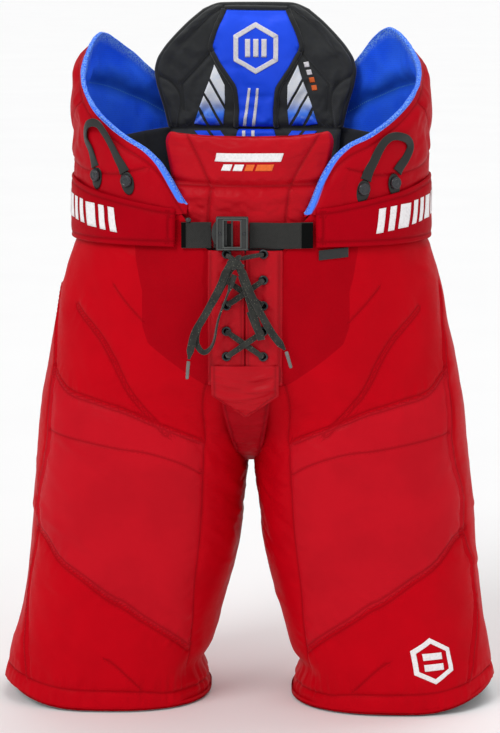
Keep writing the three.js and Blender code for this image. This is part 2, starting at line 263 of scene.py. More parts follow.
def quads(rows, columns, wrap_rows=False, wrap_columns=False, keep=None):
    index = np.arange(rows * columns).reshape(rows, columns)
    if wrap_rows:
        index = np.vstack([index, index[:1]])
    if wrap_columns:
        index = np.hstack([index, index[:, :1]])
    faces = np.stack([index[:-1, :-1], index[1:, :-1], index[1:, 1:], index[:-1, 1:]], -1)
    faces = faces[keep] if keep is not None else faces.reshape(-1, 4)
    return faces.tolist()


def outward(faces, points):
    """Turns the faces over if they enclose a negative volume."""
    p = np.asarray(points, float).reshape(-1, 3)
    p = p - p.mean(0)
    volume = 0.0
    for f in faces:
        for i in range(1, len(f) - 1):
            volume += np.dot(p[f[0]], np.cross(p[f[i]], p[f[i + 1]]))
    return [f[::-1] for f in faces] if volume < 0 else faces


def lids(rows, columns):
    """One face over each end of a tube of points."""
    return [list(range(columns)), list(range(rows * columns - 1, (rows - 1) * columns - 1, -1))]


def closed(name, grid, attributes, material):
    """A closed body: grid rows are cross-sections, each a closed ring, with a lid at both ends."""
    rows, columns = grid.shape[:2]
    faces = quads(rows, columns, wrap_columns=True)
    faces += lids(rows, columns)
    return build(name, grid, outward(faces, grid), attributes, material)


def two_faced(name, upper, lower, chart, material):
    """A thin closed body between two grids of points, joined round their rim."""
    rows, columns = upper.shape[:2]
    n = rows * columns
    faces = quads(rows, columns)
    faces += [[v + n for v in f[::-1]] for f in faces]
    index = np.arange(n).reshape(rows, columns)
    loop = [int(v) for v in (*index[:, 0], *index[-1, 1:], *index[-2::-1, -1], *index[0, -2:0:-1])]
    faces += [[a, b, b + n, a + n][::-1] for a, b in zip(loop, loop[1:] + loop[:1])]
    points = np.vstack([upper.reshape(-1, 3), lower.reshape(-1, 3)])
    chart = np.vstack([chart.reshape(-1, 2)] * 2)
    return build(name, points, outward(faces, points), {"warp": chart[:, 0], "weft": chart[:, 1]}, material)


def sweep(name, path, across, out, half_width, half_thick, material, ring, square):
    """A strap, lace or cord: a rounded section carried along a path."""
    path = np.asarray(path, float)
    count = len(path)
    across = unit(np.broadcast_to(np.asarray(across, float), path.shape))
    out = unit(np.broadcast_to(np.asarray(out, float), path.shape))
    a = np.linspace(0, 2 * np.pi, ring, endpoint=False)
    x = np.sign(np.cos(a)) * np.abs(np.cos(a)) ** square
    y = np.sign(np.sin(a)) * np.abs(np.sin(a)) ** square
    w = np.broadcast_to(np.asarray(half_width, float), (count,))[:, None, None]
    h = np.broadcast_to(np.asarray(half_thick, float), (count,))[:, None, None]
    grid = path[:, None] + across[:, None] * w * x[None, :, None] + out[:, None] * h * y[None, :, None]
    run = run_along(path)
    warp = np.broadcast_to(run[:, None], (count, ring))
    weft = (w[..., 0] * x[None, :]) + 0 * warp
    return closed(name, grid, {"warp": warp, "weft": weft}, material)


def ring_of(centre, profile, count=32, scale=(1, 1)):
    """A turned body that faces forwards: profile pairs are (radius, height towards the front)."""
    a = circle(count)
    return np.array([np.stack([centre[0] + r * scale[0] * np.cos(a), centre[1] - h + 0 * a,
                               centre[2] + r * scale[1] * np.sin(a)], -1) for r, h in profile])


def joined(name, things):
    """Several objects made into one."""
    bpy.ops.object.select_all(action="DESELECT")
    for thing in things:
        thing.select_set(True)
    bpy.context.view_layer.objects.active = things[0]
    bpy.ops.object.join()
    things[0].name = name
    return things[0]


def finish_piece(thing, body, slot, *nodes, blend=None, fill=None):
    """Merges points in the same place into one, hides the model's parts that the piece replaces, and bakes
    its transform or hangs it on its body's empty.
    """
    tidy = bmesh.new()
    tidy.from_mesh(thing.data)
    bmesh.ops.remove_doubles(tidy, verts=tidy.verts, dist=2e-6)
    bmesh.ops.dissolve_degenerate(tidy, edges=tidy.edges, dist=1e-7)
    tidy.to_mesh(thing.data)
    tidy.free()
    if nodes:
        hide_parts(*nodes)
    if blend:
        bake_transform(thing)
    else:
        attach(thing, body)
    return thing


def lookup(grid, row, column):
    """The grid's value at fractional places."""
    row = np.clip(row, 0, grid.shape[0] - 1.001)
    column = np.clip(column, 0, grid.shape[1] - 1.001)
    r, c = row.astype(int), column.astype(int)
    a, b = (row - r)[..., None], (column - c)[..., None]
    return ((grid[r, c] * (1 - a) + grid[r + 1, c] * a) * (1 - b) +
            (grid[r, c + 1] * (1 - a) + grid[r + 1, c + 1] * a) * b)


def blurred(field, wrap):
    for axis in (0, 1):
        for _ in range(2):
            if axis == 1 and wrap:
                field = (np.roll(field, 1, 1) + 2 * field + np.roll(field, -1, 1)) / 4
                continue
            body = np.moveaxis(field, axis, 0).copy()
            body[1:-1] = (body[:-2] + 2 * body[1:-1] + body[2:]) / 4
            field = np.moveaxis(body, 0, axis)
    return field


def billow(grid, held, wrap=False, flip=False, step=3, pressure=4.0, spread=0.035, cap=4.0):
    """How far each point of a padded face moves when Blender's Cloth fills it, in mm.

    held is 1 where the face is sewn down.
    """
    rows = np.unique(np.append(np.arange(0, grid.shape[0], step), grid.shape[0] - 1))
    columns = np.arange(0, grid.shape[1], step)
    if not wrap:
        columns = np.unique(np.append(columns, grid.shape[1] - 1))
    coarse = grid[np.ix_(rows, columns)]
    pins = held[np.ix_(rows, columns)].ravel()
    faces = quads(len(rows), len(columns), wrap_columns=wrap)
    if wrap:
        faces = outward(faces + lids(*coarse.shape[:2]), coarse)
    elif flip:
        faces = [f[::-1] for f in faces]
    cage = build("cage", coarse, faces)
    group = cage.vertex_groups.new(name="held")
    for level in range(11):
        chosen = np.flatnonzero(np.round(np.clip(pins, 0, 1) * 10) == level)
        if level and len(chosen):
            group.add(chosen.tolist(), level / 10, "REPLACE")
    cloth = cage.modifiers.new("cloth", "CLOTH")
    cloth.settings.use_pressure = True
    cloth.settings.uniform_pressure_force = pressure
    cloth.settings.effector_weights.gravity = 0
    cloth.settings.vertex_group_mass = "held"
    cloth.settings.shrink_min = -spread
    cloth.settings.quality = 4
    cloth.settings.bending_stiffness = 0.4
    cloth.settings.air_damping = 2
    cloth.point_cache.frame_start, cloth.point_cache.frame_end = 1, 20
    scene = bpy.context.scene
    for frame_number in range(1, 21):
        scene.frame_set(frame_number)
    ready = cage.evaluated_get(bpy.context.evaluated_depsgraph_get())
    moved = np.empty(len(ready.data.vertices) * 3, np.float32)
    ready.data.vertices.foreach_get("co", moved)
    shift = moved.reshape(coarse.shape) / MM - coarse
    shift = np.nan_to_num(shift)
    reach = np.linalg.norm(shift, axis=-1, keepdims=True)
    shift = shift * (cap * np.tanh(reach / cap) / np.maximum(reach, 1e-9))
    bpy.data.objects.remove(cage)
    scene.frame_set(1)
    if wrap:
        shift = np.concatenate([shift, shift[:, :1]], axis=1)
        columns = np.append(columns, grid.shape[1])
    row = np.interp(np.arange(grid.shape[0]), rows, np.arange(len(rows)))[:, None]
    column = np.interp(np.arange(grid.shape[1]), columns, np.arange(len(columns)))[None]
    full = lookup(shift, row + 0 * column, column + 0 * row)
    return blurred(full, wrap) * (1 - np.clip(held, 0, 1))[..., None]


CARRIED = {}  # for each pad: how its front face has moved


def carried(name, x, z):
    """How far the pad's front face has moved at (x, z)."""
    levels, half_width, field = CARRIED[name]
    row = (z - levels[0]) / (levels[-1] - levels[0]) * (len(levels) - 1)
    column = (np.clip(x / half_width(z), -1, 1) + 1) / 2 * (field.shape[1] - 1)
    return lookup(field, row + 0 * column, column + 0 * row)


def box_mm(node):
    low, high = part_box(node)
    return np.array(low) / MM, np.array(high) / MM


# ---------------------------------------------------------------- materials


def hexed(code):
    """A colour written as sRGB hex, in linear light."""
    parts = [int(code[i:i + 2], 16) / 255 for i in (0, 2, 4)]
    return tuple(c / 12.92 if c <= 0.04045 else ((c + 0.055) / 1.055) ** 2.4 for c in parts) + (1.0,)


class Graph:
    """A short way to write a node material."""

    def __init__(self, name):
        self.material = bpy.data.materials.new(name)
        self.material.use_nodes = True
        self.tree = self.material.node_tree
        self.tree.nodes.clear()
        self.output = self.tree.nodes.new("ShaderNodeOutputMaterial")
        self.shader = self.tree.nodes.new("ShaderNodeBsdfPrincipled")
        self.tree.links.new(self.shader.outputs[0], self.output.inputs[0])

    def put(self, socket, value):
        if isinstance(value, bpy.types.NodeSocket):
            self.tree.links.new(value, socket)
        else:
            socket.default_value = value

    def node(self, kind, inputs=None, out=0, **settings):
        made = self.tree.nodes.new(kind)
        for key, value in settings.items():
            setattr(made, key, value)
        for key, value in (inputs or {}).items():
            self.put(made.inputs[key], value)
        return made.outputs[out]

    def math(self, operation, *values):
        return self.node("ShaderNodeMath", dict(enumerate(values)), operation=operation)

    def times(self, a, b):
        return self.math("MULTIPLY", a, b)

    def plus(self, a, b):
        return self.math("ADD", a, b)

    def relief(self, strength, height):
        return self.node("ShaderNodeBump", {"Strength": strength, "Distance": MM, "Height": height})

    def attribute(self, name):
        return self.node("ShaderNodeAttribute", out="Fac", attribute_name=name)

    def band(self, value, low, high, to_low=0.0, to_high=1.0):
        return self.node("ShaderNodeMapRange", {"Value": value, "From Min": low, "From Max": high,
                                                "To Min": to_low, "To Max": to_high},
                                                interpolation_type="SMOOTHSTEP")

    def mix(self, share, a, b):
        made = self.tree.nodes.new("ShaderNodeMix")
        made.data_type = "RGBA"
        self.put(made.inputs[0], share)
        self.put(made.inputs[6], a)
        self.put(made.inputs[7], b)
        return made.outputs[2]

    def noise(self, size_mm, detail, rough=0.55):
        vector = self.node("ShaderNodeTexCoord", out="Object")
        return self.node("ShaderNodeTexNoise", {"Vector": vector, "Scale": 1000 / size_mm, "Detail": detail,
                                                "Roughness": rough})

    def set(self, **values):
        for key, value in values.items():
            self.put(self.shader.inputs[key.replace("_", " ")], value)
        return self.material


def shade(colour, factor):
    return tuple(c * factor for c in colour[:3]) + (1.0,)


def fabric(name, colour, rough, sheen, weave=1.1, depth=0.25, masks=(), stitched=True,
           crumple=0.35, crumple_size=16, mottle=0.10, thread=None, specular=0.35):
    """Woven cloth. Its weave runs along the warp and weft attributes, and masks tint marked areas."""
    g = Graph(name)
    base = hexed(colour)
    tone = g.noise(55, 3)
    fine = g.noise(4, 2)
    tinted = g.mix(g.band(tone, 0.3, 0.7), shade(base, 1 - mottle), shade(base, 1 + mottle))
    roughness = g.band(fine, 0.2, 0.8, rough - 0.06, rough + 0.06)
    for attribute, other, other_rough in masks:
        mask = g.band(g.attribute(attribute), -0.7, 0.7)
        own = hexed(other)
        tinted = g.mix(mask, tinted, g.mix(g.band(tone, 0.3, 0.7), shade(own, 1 - mottle),
                                           shade(own, 1 + mottle)))
        roughness = g.plus(roughness, g.times(mask, other_rough - rough))
    warp, weft = g.attribute("warp"), g.attribute("weft")
    turn = 2 * math.pi / weave
    over = g.math("SINE", g.times(warp, turn))
    under = g.math("SINE", g.times(weft, turn))
    height = g.times(g.times(over, under), 0.05 * depth)
    height = g.plus(height, g.times(g.noise(crumple_size, 4, rough=0.6), crumple))
    height = g.plus(height, g.times(fine, 0.04))
    if stitched:
        seam, along = g.attribute("seam"), g.attribute("along")
        away = g.math("ABSOLUTE", seam)
        crease = g.band(away, 0.3, 2.2, 1.0, 0.0)
        # painted shade: the cloth's colour darkens towards the middle of each seam's groove, where shade
        # falls
        tinted = g.mix(g.times(crease, 0.38), tinted, shade(base, 0.3))
        beside = g.band(g.math("ABSOLUTE", g.math("SUBTRACT", away, 2.6)), 0.25, 0.65, 1.0, 0.0)
        dash = g.band(g.math("SINE", g.times(along, 2 * math.pi / 3.4)), -0.45, 0.0)
        stitch = g.times(beside, dash)
        tinted = g.mix(g.times(stitch, 0.35), tinted, thread or shade(base, 0.55))
        height = g.plus(height, g.times(stitch, 0.16))
        height = g.math("SUBTRACT", height, g.times(crease, 0.35))
    g.set(Base_Color=tinted, Roughness=roughness, Normal=g.relief(0.75, height))
    return g.set(Sheen_Weight=sheen, Sheen_Roughness=0.5, Specular_IOR_Level=specular)


def moulded(name, colour, rough, grain=2.0, depth=0.03, metallic=0.0, wear=0.12, specular=0.5):
    """Moulded plastic or metal with a fine grain and paler, scuffed patches."""
    g = Graph(name)
    base = hexed(colour)
    scuffs = g.band(g.noise(9, 4), 0.52, 0.72)
    g.set(Base_Color=g.mix(g.times(scuffs, wear), base, shade(base, 2.2)),
          Roughness=g.band(g.noise(3, 3), 0.25, 0.75, rough - 0.08, rough + 0.1),
          Normal=g.relief(0.6, g.times(g.noise(grain, 3), depth * 4)))
    return g.set(Metallic=metallic, Specular_IOR_Level=specular)


def red_cloth(name, colour, rough, specular, **other):
    """Smooth red cloth without sheen."""
    return fabric(name, colour, rough=rough, specular=specular, sheen=0.0,
                  **{"weave": 1.2, "crumple_size": 20, "mottle": 0.05, **other})


LOOKS = {
    "shell": red_cloth("ripstop_red", "BC0113", 0.5, 0.04, weave=1.3, crumple=0.3, crumple_size=26,
                       masks=(("dark", "A60010", 0.7), ("glossy", "BE101F", 0.4))),
    "band": red_cloth("band_red", "A60012", 0.55, 0.03, mottle=0.06),
    "red": red_cloth("wing_red", "B00215", 0.5, 0.05, masks=(("collar", "4C86FF", 0.8),)),
    "pad": red_cloth("pad_red", "B80C1B", 0.45, 0.08),
    "placket": red_cloth("placket_red", "B50A1A", 0.42, 0.12, crumple=0.4, crumple_size=14),
    "gusset": red_cloth("gusset_red", "A00414", 0.5, 0.06, weave=1.4, crumple=0.5, crumple_size=12,
                        mottle=0.1),
    "lining": fabric("black_lining", "17181A", weave=1.6, rough=0.75, sheen=0.35, stitched=False,
                     crumple=0.5),
    "knit": fabric("black_knit", "2B2D2D", weave=2.2, rough=0.8, sheen=0.3, depth=1.6, crumple=0.15,
                   thread=hexed("3C4044")),
    "webbing": fabric("woven_strap", "20201E", weave=2.4, rough=0.7, sheen=0.1, depth=3.2, stitched=False,
                      crumple=0.05, mottle=0.16),
    "bound": fabric("bound_end", "090A0A", weave=2.0, rough=0.8, sheen=0.0, crumple=0.1, specular=0.05,
                    stitched=False),
    "foam": fabric("quilted_foam", "202225", weave=1.8, rough=0.85, sheen=0.4, crumple=0.3, stitched=False),
}

# A flat lace: a herringbone of ribs with pale flecks where the tracer threads surface.
g = Graph("flat_lace")
warp, weft = g.attribute("warp"), g.attribute("weft")
rib = g.math("SINE", g.times(g.plus(warp, g.math("ABSOLUTE", weft)), 2 * math.pi / 1.5))
cell = g.node("ShaderNodeCombineXYZ", {"X": g.times(warp, 0.34), "Y": g.times(weft, 0.8)})
spot = g.node("ShaderNodeTexVoronoi", {"Vector": cell, "Scale": 1.0, "Randomness": 0.9})
fleck = g.band(spot, 0.10, 0.2, 1.0, 0.0)
lace_tone = g.mix(g.band(g.noise(12, 3), 0.3, 0.7), hexed("1C1D1A"), hexed("2F302B"))
g.set(Base_Color=g.mix(g.times(fleck, 0.75), lace_tone, hexed("A29E86")), Roughness=0.78,
      Normal=g.relief(0.7, g.times(rib, 0.16)))
LOOKS["lace"] = g.set(Sheen_Weight=0.25, Specular_IOR_Level=0.3)

LOOKS["buckle"] = moulded("buckle_plastic", "2A2C2B", rough=0.42, wear=0.2)
# a paler copy of the buckle plastic for its raised rims: painted highlight, with scuffs of wear
LOOKS["buckle_rim_highlight"] = moulded("buckle_rim_highlight", "454846", rough=0.36, wear=0.3)
LOOKS["button"] = moulded("button_plastic", "23252A", rough=0.3)
LOOKS["aglet"] = moulded("aglet_plastic", "6A6A68", rough=0.28, wear=0.4)
LOOKS["eyelet"] = moulded("eyelet_metal", "3A3C3E", rough=0.32, metallic=0.75, wear=0.5)
LOOKS["plate"] = moulded("pad_plastic", "202326", rough=0.5, grain=4, depth=0.08)
# near-black for the eyelets' holes: painted shade of the hollow
LOOKS["dark"] = moulded("eyelet_hole_shade", "060607", rough=0.9, specular=0.1)

# ---------------------------------------------------------------- laces

# Each route repeats the lace solids of the model, in mm.
ROUTES = {
    "lace_tail_right": ([[-20, -164.6, -38.5], [-26, -164.6, -54], [-41, -164.6, -83],
                         [-52.7, -164.6, -103], [-57, -164.6, -117], [-60.2, -164.6, -134]], 8.4, 26),
    "lace_tail_left": ([[-2, -164.6, -38], [4, -164.6, -54], [11, -164.6, -70], [29, -164.6, -103],
                        [44.4, -164.6, -123]], 8.4, 26),
    "lace_loop_right": ([[-16, -161, -39], [-31, -161, -68], [-48, -161, -96], [-52, -161, -116],
                         [-44, -161, -127], [-34, -161, -117], [-28, -161, -90], [-17, -161, -60],
                         [-10.5, -161, -42]], 6.4, 40),
    "lace_loop_left": ([[-3, -161, -42], [3, -161, -60], [10, -161, -85], [17, -161, -108],
                        [18.3, -159.5, -112.5], [17, -158.4, -108], [11.5, -158.4, -96], [6, -158.4, -82]],
                        8.4, 36),
}


def aglet(word, start, end):
    """The stiff lace tip: a crimped tube, narrower where the lace goes in."""
    start, end = np.array(start, float), np.array(end, float)
    axis = unit(end - start)
    across = unit(np.cross(axis, [0, 1, 0]))
    out = np.cross(across, axis)
    at = np.array([0, 0.02, 0.06, 0.1, 0.14, 0.2, 0.5, 0.9, 0.96, 1.0])
    radius = np.array([1.6, 2.0, 2.1, 1.75, 2.1, 2.0, 1.9, 1.85, 1.6, 1.0])
    path = start + (end - start) * at[:, None]
    piece = sweep(f"aglet_{word}_tip", path, across, out, radius, radius * 0.9, LOOKS["aglet"], ring=16,
                  square=1)
    return finish_piece(piece, "pelvis", "aglet_plastic", f"aglet_{word}")


TIPS = {
    "lace_tail_right": aglet("right", [-60.6, -164.6, -136.2], [-62.3, -164.6, -156]),
    "lace_tail_left": aglet("left", [45.7, -164.6, -124.8], [51, -164.6, -143]),
}
for node, (route, width, count) in ROUTES.items():
    path = curve(route, count)
    fine = curve(route, count * 4)
    t = np.linspace(0, 1, len(fine))
    lean = np.radians(7) * np.sin(9 * t)
    if node == "lace_loop_right":  # the strand that goes back up lies on its edge
        lean = lean + np.radians(76) * smooth(0.42, 0.6, t) * smooth(0.98, 0.88, t)
    across, out = leaned(*facing(fine), lean[:, None])
    half = np.full(len(fine), width / 2 - 0.1)
    if node in TIPS:  # the lace is pinched into its tip
        half = half * (1 - 0.62 * smooth(0.9, 1.0, t))
    piece = sweep(f"{node}_braid", fine, across, out, half, 0.95, LOOKS["lace"], ring=14, square=0.45)
    finish_piece(piece, "pelvis", "lace", node)

# ---------------------------------------------------------------- body sections

# The sections of the solid model: a superellipse for the trunk and one for each leg.
ROUNDNESS = 2.4
trunk_half_width = table((-250, 244), (-148, 230), (-75, 219), (-45, 210), (-17, 198), (38, 197),
                         (80, 200.5), (125, 204), (173, 200), (200, 195), (225, 186))
trunk_half_depth = table((-250, 138), (-148, 146), (-75, 146), (-17, 141), (38, 141), (125, 140),
                         (220, 130))
leg_outer = table((-548, 283), (-497, 275), (-454, 267), (-377, 256), (-330, 253), (-250, 244))
leg_inner = table((-548, 46), (-495, 45), (-468, 38), (-426, 28), (-375, 15), (-330, 10), (-275, 4),
                  (-250, 3))
leg_half_depth = table((-548, 110), (-481, 112), (-377, 118), (-250, 130))


def power(v):
    return np.sign(v) * np.abs(v) ** (2 / ROUNDNESS)


def trunk(side, degrees, z, inset=0.0):
    """A point on the trunk's section: 0 degrees is the front, 180 the back."""
    a = np.radians(degrees)
    return np.stack(np.broadcast_arrays(side * (trunk_half_width(z) - inset) * power(np.sin(a)),
                                        -(trunk_half_depth(z) - inset) * power(np.cos(a)), z), -1)


def leg(side, degrees, z, inset=0.0):
    """A point on a leg's section: 0 front, 90 outside, 180 back, -90 and 270 inside."""
    a = np.radians(degrees)
    centre = (leg_outer(z) + leg_inner(z)) / 2
    half = (leg_outer(z) - leg_inner(z)) / 2
    return np.stack(np.broadcast_arrays(side * (centre + (half - inset) * power(np.sin(a))),
                                        -(leg_half_depth(z) - inset) * power(np.cos(a)), z), -1)


HALF_TURN = 66  # the leg's section from -66 to 246 degrees opens out into half the trunk


def trunk_degrees(psi):
    return np.clip((psi + HALF_TURN) / (180 + 2 * HALF_TURN) * 180, 0, 180)


def shell_point(side, psi, z, inset):
    share = smooth(-262, -150, z)[..., None]
    return leg(side, psi, z, inset) * (1 - share) + trunk(side, trunk_degrees(psi), z, inset) * share


def normals_of(grid, side):
    """Outward normals of a grid whose rows run front to back and whose columns run downwards."""
    du = np.gradient(grid, axis=0)
    dv = np.gradient(grid, axis=1)
    return unit(np.cross(du, dv)) * -side


# ---------------------------------------------------------------- shell

# Seams of one leg on the (psi, z) chart, and their kind.
CHART = 2.0  # mm per degree of psi
SEAM_STEPS = 26
SEAMS = {
    "waist_diagonal": ("fine", [(2, -60), (-19, -95)]),
    "thigh_upper": ("double", [(34, -87), (9, -117), (-6, -151), (-12, -182), (-16, -204), (-19, -224)]),
    "thigh_cross": ("double", [(58, -158), (35, -181), (12, -190), (-3, -199), (-14, -211), (-36, -234)]),
    "thigh_fold": ("fine", [(54, -228), (24, -235), (6, -241), (-6, -246), (-22, -259), (-34, -272)]),
    "outer_piping": ("piping", [(78, -69), (58, -154), (56, -209), (56, -237), (64, -289), (66, -309),
                                (62, -344), (70, -392), (69, -433), (55, -489), (48, -524)]),
    "inner_vertical": ("single", [(-52, -168), (-42, -229), (-36, -256), (-38, -328), (-40, -400),
                                  (-55, -503)]),
    "knee": ("double", [(66, -341), (50, -353), (37, -374), (18, -394), (2, -417), (-14, -442),
                        (-50, -483)]),
    "hem_mark": ("fine", [(0, -487), (-16, -520)]),
    "hem": ("hem", [(-90, -532), (-32, -530), (-8, -525), (90, -524), (180, -525), (270, -532)]),
    "back_centre": ("single", [(246, -20), (246, -150), (226, -230), (212, -330), (214, -524)]),
    "back_yoke": ("double", [(118, -70), (140, -118), (170, -140), (205, -146), (246, -150)]),
    "back_thigh": ("double", [(106, -215), (130, -238), (160, -250), (190, -250), (224, -236)]),
    "back_knee": ("double", [(104, -341), (130, -372), (160, -392), (190, -400), (213, -402)]),
    "side_back": ("piping", [(112, -40), (110, -150), (104, -237), (106, -330), (104, -433), (108, -524)]),
}
dark_edge = line((-168, -52), (-153, -44), (-137, -34), (-121, -24), (-102, -20), (-64, -18), (-12, -6),
                 (0, -4))


def shell_relief(side, psi, z, base):
    """Height of the cloth over the base surface, with the attributes that its material reads."""
    at = np.stack([psi * CHART, z], -1)
    height = np.zeros(psi.shape)
    near = np.full(psi.shape, 999.0)
    stitch, place = np.full(psi.shape, 99.0), np.zeros(psi.shape)
    pucker = np.zeros(psi.shape)
    for order, (kind, points) in enumerate(SEAMS.values()):
        path = on_chart(points, CHART, SEAM_STEPS)
        d, s = follow(at, path)
        away = np.abs(d)
        near = np.where(kind == "fine", near, np.minimum(near, away))
        offsets = (-3.2, 3.2) if kind == "double" else (0.0,)
        for offset in offsets:
            depth = {"double": 1.2, "single": 1.6, "fine": 0.8, "piping": 0.0, "hem": 1.8}[kind]
            height -= depth * bump(d - offset, 1.9)
            closer = np.abs(d - offset) < np.abs(stitch)
            stitch = np.where(closer, d - offset, stitch)
            place = np.where(closer, s, place)
        if kind == "piping":
            height += 2.6 * bump(d, 2.4) - 1.6 * bump(away - 5.5, 2.2)
        waves = ripple(s / 7.0 + order * 9, away / 26.0, order + 3)
        strength = 0.35 if kind == "fine" else 1.0
        pucker += strength * waves * bump(away - 6, 11) * (1 - bump(away, 1.5))
    height += 2.6 * (1 - np.exp(-near / 16)) - 1.2 + 0.62 * pucker
    tilted = base @ np.array([[0.9, 0.1, 0.42], [-0.1, 1.0, 0.0], [-0.42 * side, 0.0, 0.9]])
    height += 1.5 * noise(tilted * (1, 1, 0.55), 52, seed=side + 5, octaves=3)
    fold = noise(tilted * (0.5, 0.5, 1.6), 30, seed=side + 11, octaves=2)
    height += 0.9 * np.clip(fold, 0, 1) ** 2 * 2
    # gathers at the hem and where the legs meet the crotch
    gather = ripple(psi / 3.4, z / 60.0, 21)
    height += 1.3 * gather * smooth(-492, -526, z)
    inner = smooth(-20, -60, psi) + smooth(200, 240, psi)
    creases = ripple(psi / 16.0, (z + psi * 0.9 * side) / 11.0, 31)
    height += 1.5 * creases * inner * smooth(-200, -260, z) * smooth(-420, -330, z)
    outer = smooth(30, 80, psi) * smooth(160, 110, psi)
    if side > 0:
        swell = 3.6 * smooth(-100, -160, z) * smooth(-560, -440, z)
    else:
        swell = 0.8 * bump(z + 192, 22) + 6.5 * smooth(-430, -520, z)
    height += swell * outer
    near_inner = smooth(-30, -66, psi) + smooth(216, 250, psi)
    height -= (9.5 * bump(z + 511, 13) + 2.0 * smooth(-360, -480, z)) * near_inner
    under_band = smooth(-8, -26, z)
    height = np.maximum(height, -1.5 - 12 * near_inner * smooth(-440, -490, z))
    height = height * under_band - 1.4 * (1 - under_band)
    behind_fly = (np.abs(base[..., 0]) < 44) & (z > -168) & (base[..., 1] < 0)
    height = np.where(behind_fly, np.minimum(height, -0.6), height)
    dark = (dark_edge(z) - psi) * CHART
    dark = np.where((z < -168) | (psi > 30) | (z > 14), -9, dark)
    upper, lower, inner_edge, outer_edge = (
        follow(at, on_chart(SEAMS[name][1], CHART, SEAM_STEPS))[0]
        for name in ("thigh_cross", "knee", "inner_vertical", "outer_piping"))
    glossy = np.minimum(np.minimum(upper, -lower), np.minimum(-outer_edge, inner_edge))
    marks = {"seam": stitch, "along": place, "dark": np.clip(dark, -9, 9), "glossy": np.clip(glossy, -9, 9)}
    return height, marks


SHELL_FACE = {}  # each side's outer cloth, for what is printed on it


def hem_lift(side, psi, z):
    """The hem rises towards the outside of the leg."""
    rise = 21.0 if side > 0 else 15.0
    return rise * smooth(10, 84, psi) * smooth(200, 130, psi) * smooth(-462, -546, z) ** 1.5


SHELL_TOP, SHELL_LOW, SHELL_ROWS = 37.0, -543.5, 236


def shell(word, side):
    psi = np.concatenate([np.arange(-90, 104, 1.15), np.linspace(104, 270, 104)])
    hem_turn = np.radians(np.linspace(0, 200, 9))[1:]
    levels = np.concatenate([np.linspace(0, 1, SHELL_ROWS), 1 + np.arange(1, len(hem_turn) + 1) / 1000])
    degrees = trunk_degrees(psi)
    top = np.where(degrees < 90, np.interp(degrees, (9, 13, 15.5, 17, 19, 25), (-17.5, 8, 15, 21, 26, 37)),
                   SHELL_TOP)
    z = top[:, None] + (SHELL_LOW - top[:, None]) * np.clip(levels, 0, 1)[None, :]
    extra, curl = np.zeros((2, len(levels)))  # the hem is turned under
    extra[SHELL_ROWS:] = -4.0 * np.sin(hem_turn)
    curl[SHELL_ROWS:] = 4.5 * (1 - np.cos(hem_turn))
    turned = psi[:, None] + 0 * z
    base = shell_point(side, turned, z, 1.2)
    normal = normals_of(base, side)
    height, marks = shell_relief(side, turned, z, base)
    grid = base + normal * (height - curl[None, :])[..., None]
    grid[..., 2] += extra[None, :] + hem_lift(side, turned, z)
    stitched = np.abs(marks["seam"])
    away = np.abs(grid[..., 0])
    fixed = (smooth(8, 2, stitched) + smooth(-30, -22, z) + smooth(-524, -532, z) +
             smooth(56, 46, away) * smooth(-190, -176, z) + smooth(9, 3, away) +
             smooth(-58, -64, turned) + smooth(238, 244, turned))
    grid = grid + billow(grid, np.clip(fixed, 0, 1), flip=side > 0, cap=3.6, pressure=2.5, spread=0.03)
    grid[..., 0] = side * np.maximum(side * grid[..., 0], 0.3)
    gap = (grid[0] - grid[-1]) / 2  # both ends meet along the inner seam
    grid = grid - gap * smooth(-72, -90, psi)[:, None, None] + gap * smooth(252, 270, psi)[:, None, None]
    SHELL_FACE[side] = (psi, grid)
    keep = np.ones((len(psi) - 1, len(levels) - 1), bool)
    middle = (grid[:-1, :-1] + grid[1:, 1:]) / 2
    keep &= ~((np.abs(middle[..., 0]) < 34) & (middle[..., 2] > -150) & (middle[..., 1] < 0))
    septum = (psi[:-1] < -HALF_TURN - 0.6) | (psi[1:] > 180 + HALF_TURN + 0.6)
    keep &= ~(septum[:, None] & (middle[..., 2] > -165))
    marks["warp"], marks["weft"] = turned * CHART, z
    faces = quads(*grid.shape[:2], keep=keep)
    if side > 0:
        faces = [f[::-1] for f in faces]
    made = build(f"shell_{word}", grid, faces, marks, LOOKS["shell"])
    pick = np.r_[0:len(psi) - 1:3, len(psi) - 1]
    part = (pick, slice(0, SHELL_ROWS, 3))
    calm = grid[part].copy()  # the lining keeps clear of the seams' grooves
    for _ in range(2):
        calm[1:-1] = (calm[:-2] + calm[1:-1] + calm[2:]) / 3
        calm[:, 1:-1] = (calm[:, :-2] + calm[:, 1:-1] + calm[:, 2:]) / 3
    inner = calm - normals_of(calm, side) * 3.6
    inner[..., 2] = np.minimum(inner[..., 2], 36.5)
    inner[..., 0] = side * np.maximum(side * inner[..., 0], 1.5)
    small = (inner[:-1, :-1] + inner[1:, 1:]) / 2
    stay = ~((np.abs(small[..., 0]) < 38) & (small[..., 2] > -158) & (small[..., 1] < 0))
    between = (psi[pick][:-1] < -HALF_TURN) | (psi[pick][1:] > 180 + HALF_TURN)
    stay &= ~(between[:, None] & (small[..., 2] > -170))
    faces = quads(*inner.shape[:2], keep=stay)
    if side < 0:
        faces = [f[::-1] for f in faces]
    lined = build(f"shell_lining_{word}", inner, faces, {"warp": turned[part] * CHART, "weft": z[part]},
                  LOOKS["lining"])
    bend = ("pelvis", f"{word}_leg", (side * 0.12, 0, -0.14), (side * 0.12, 0, -0.25))
    finish_piece(made, None, "shell_red", f"leg_shell_{word}", f"hem_roll_{word}", f"hip_crease_{word}",
                 "girdle_shell", blend=bend)
    finish_piece(lined, None, "pad_black", blend=bend)


for word, side in SIDES:
    shell(word, side)


# ---------------------------------------------------------------- padded panels


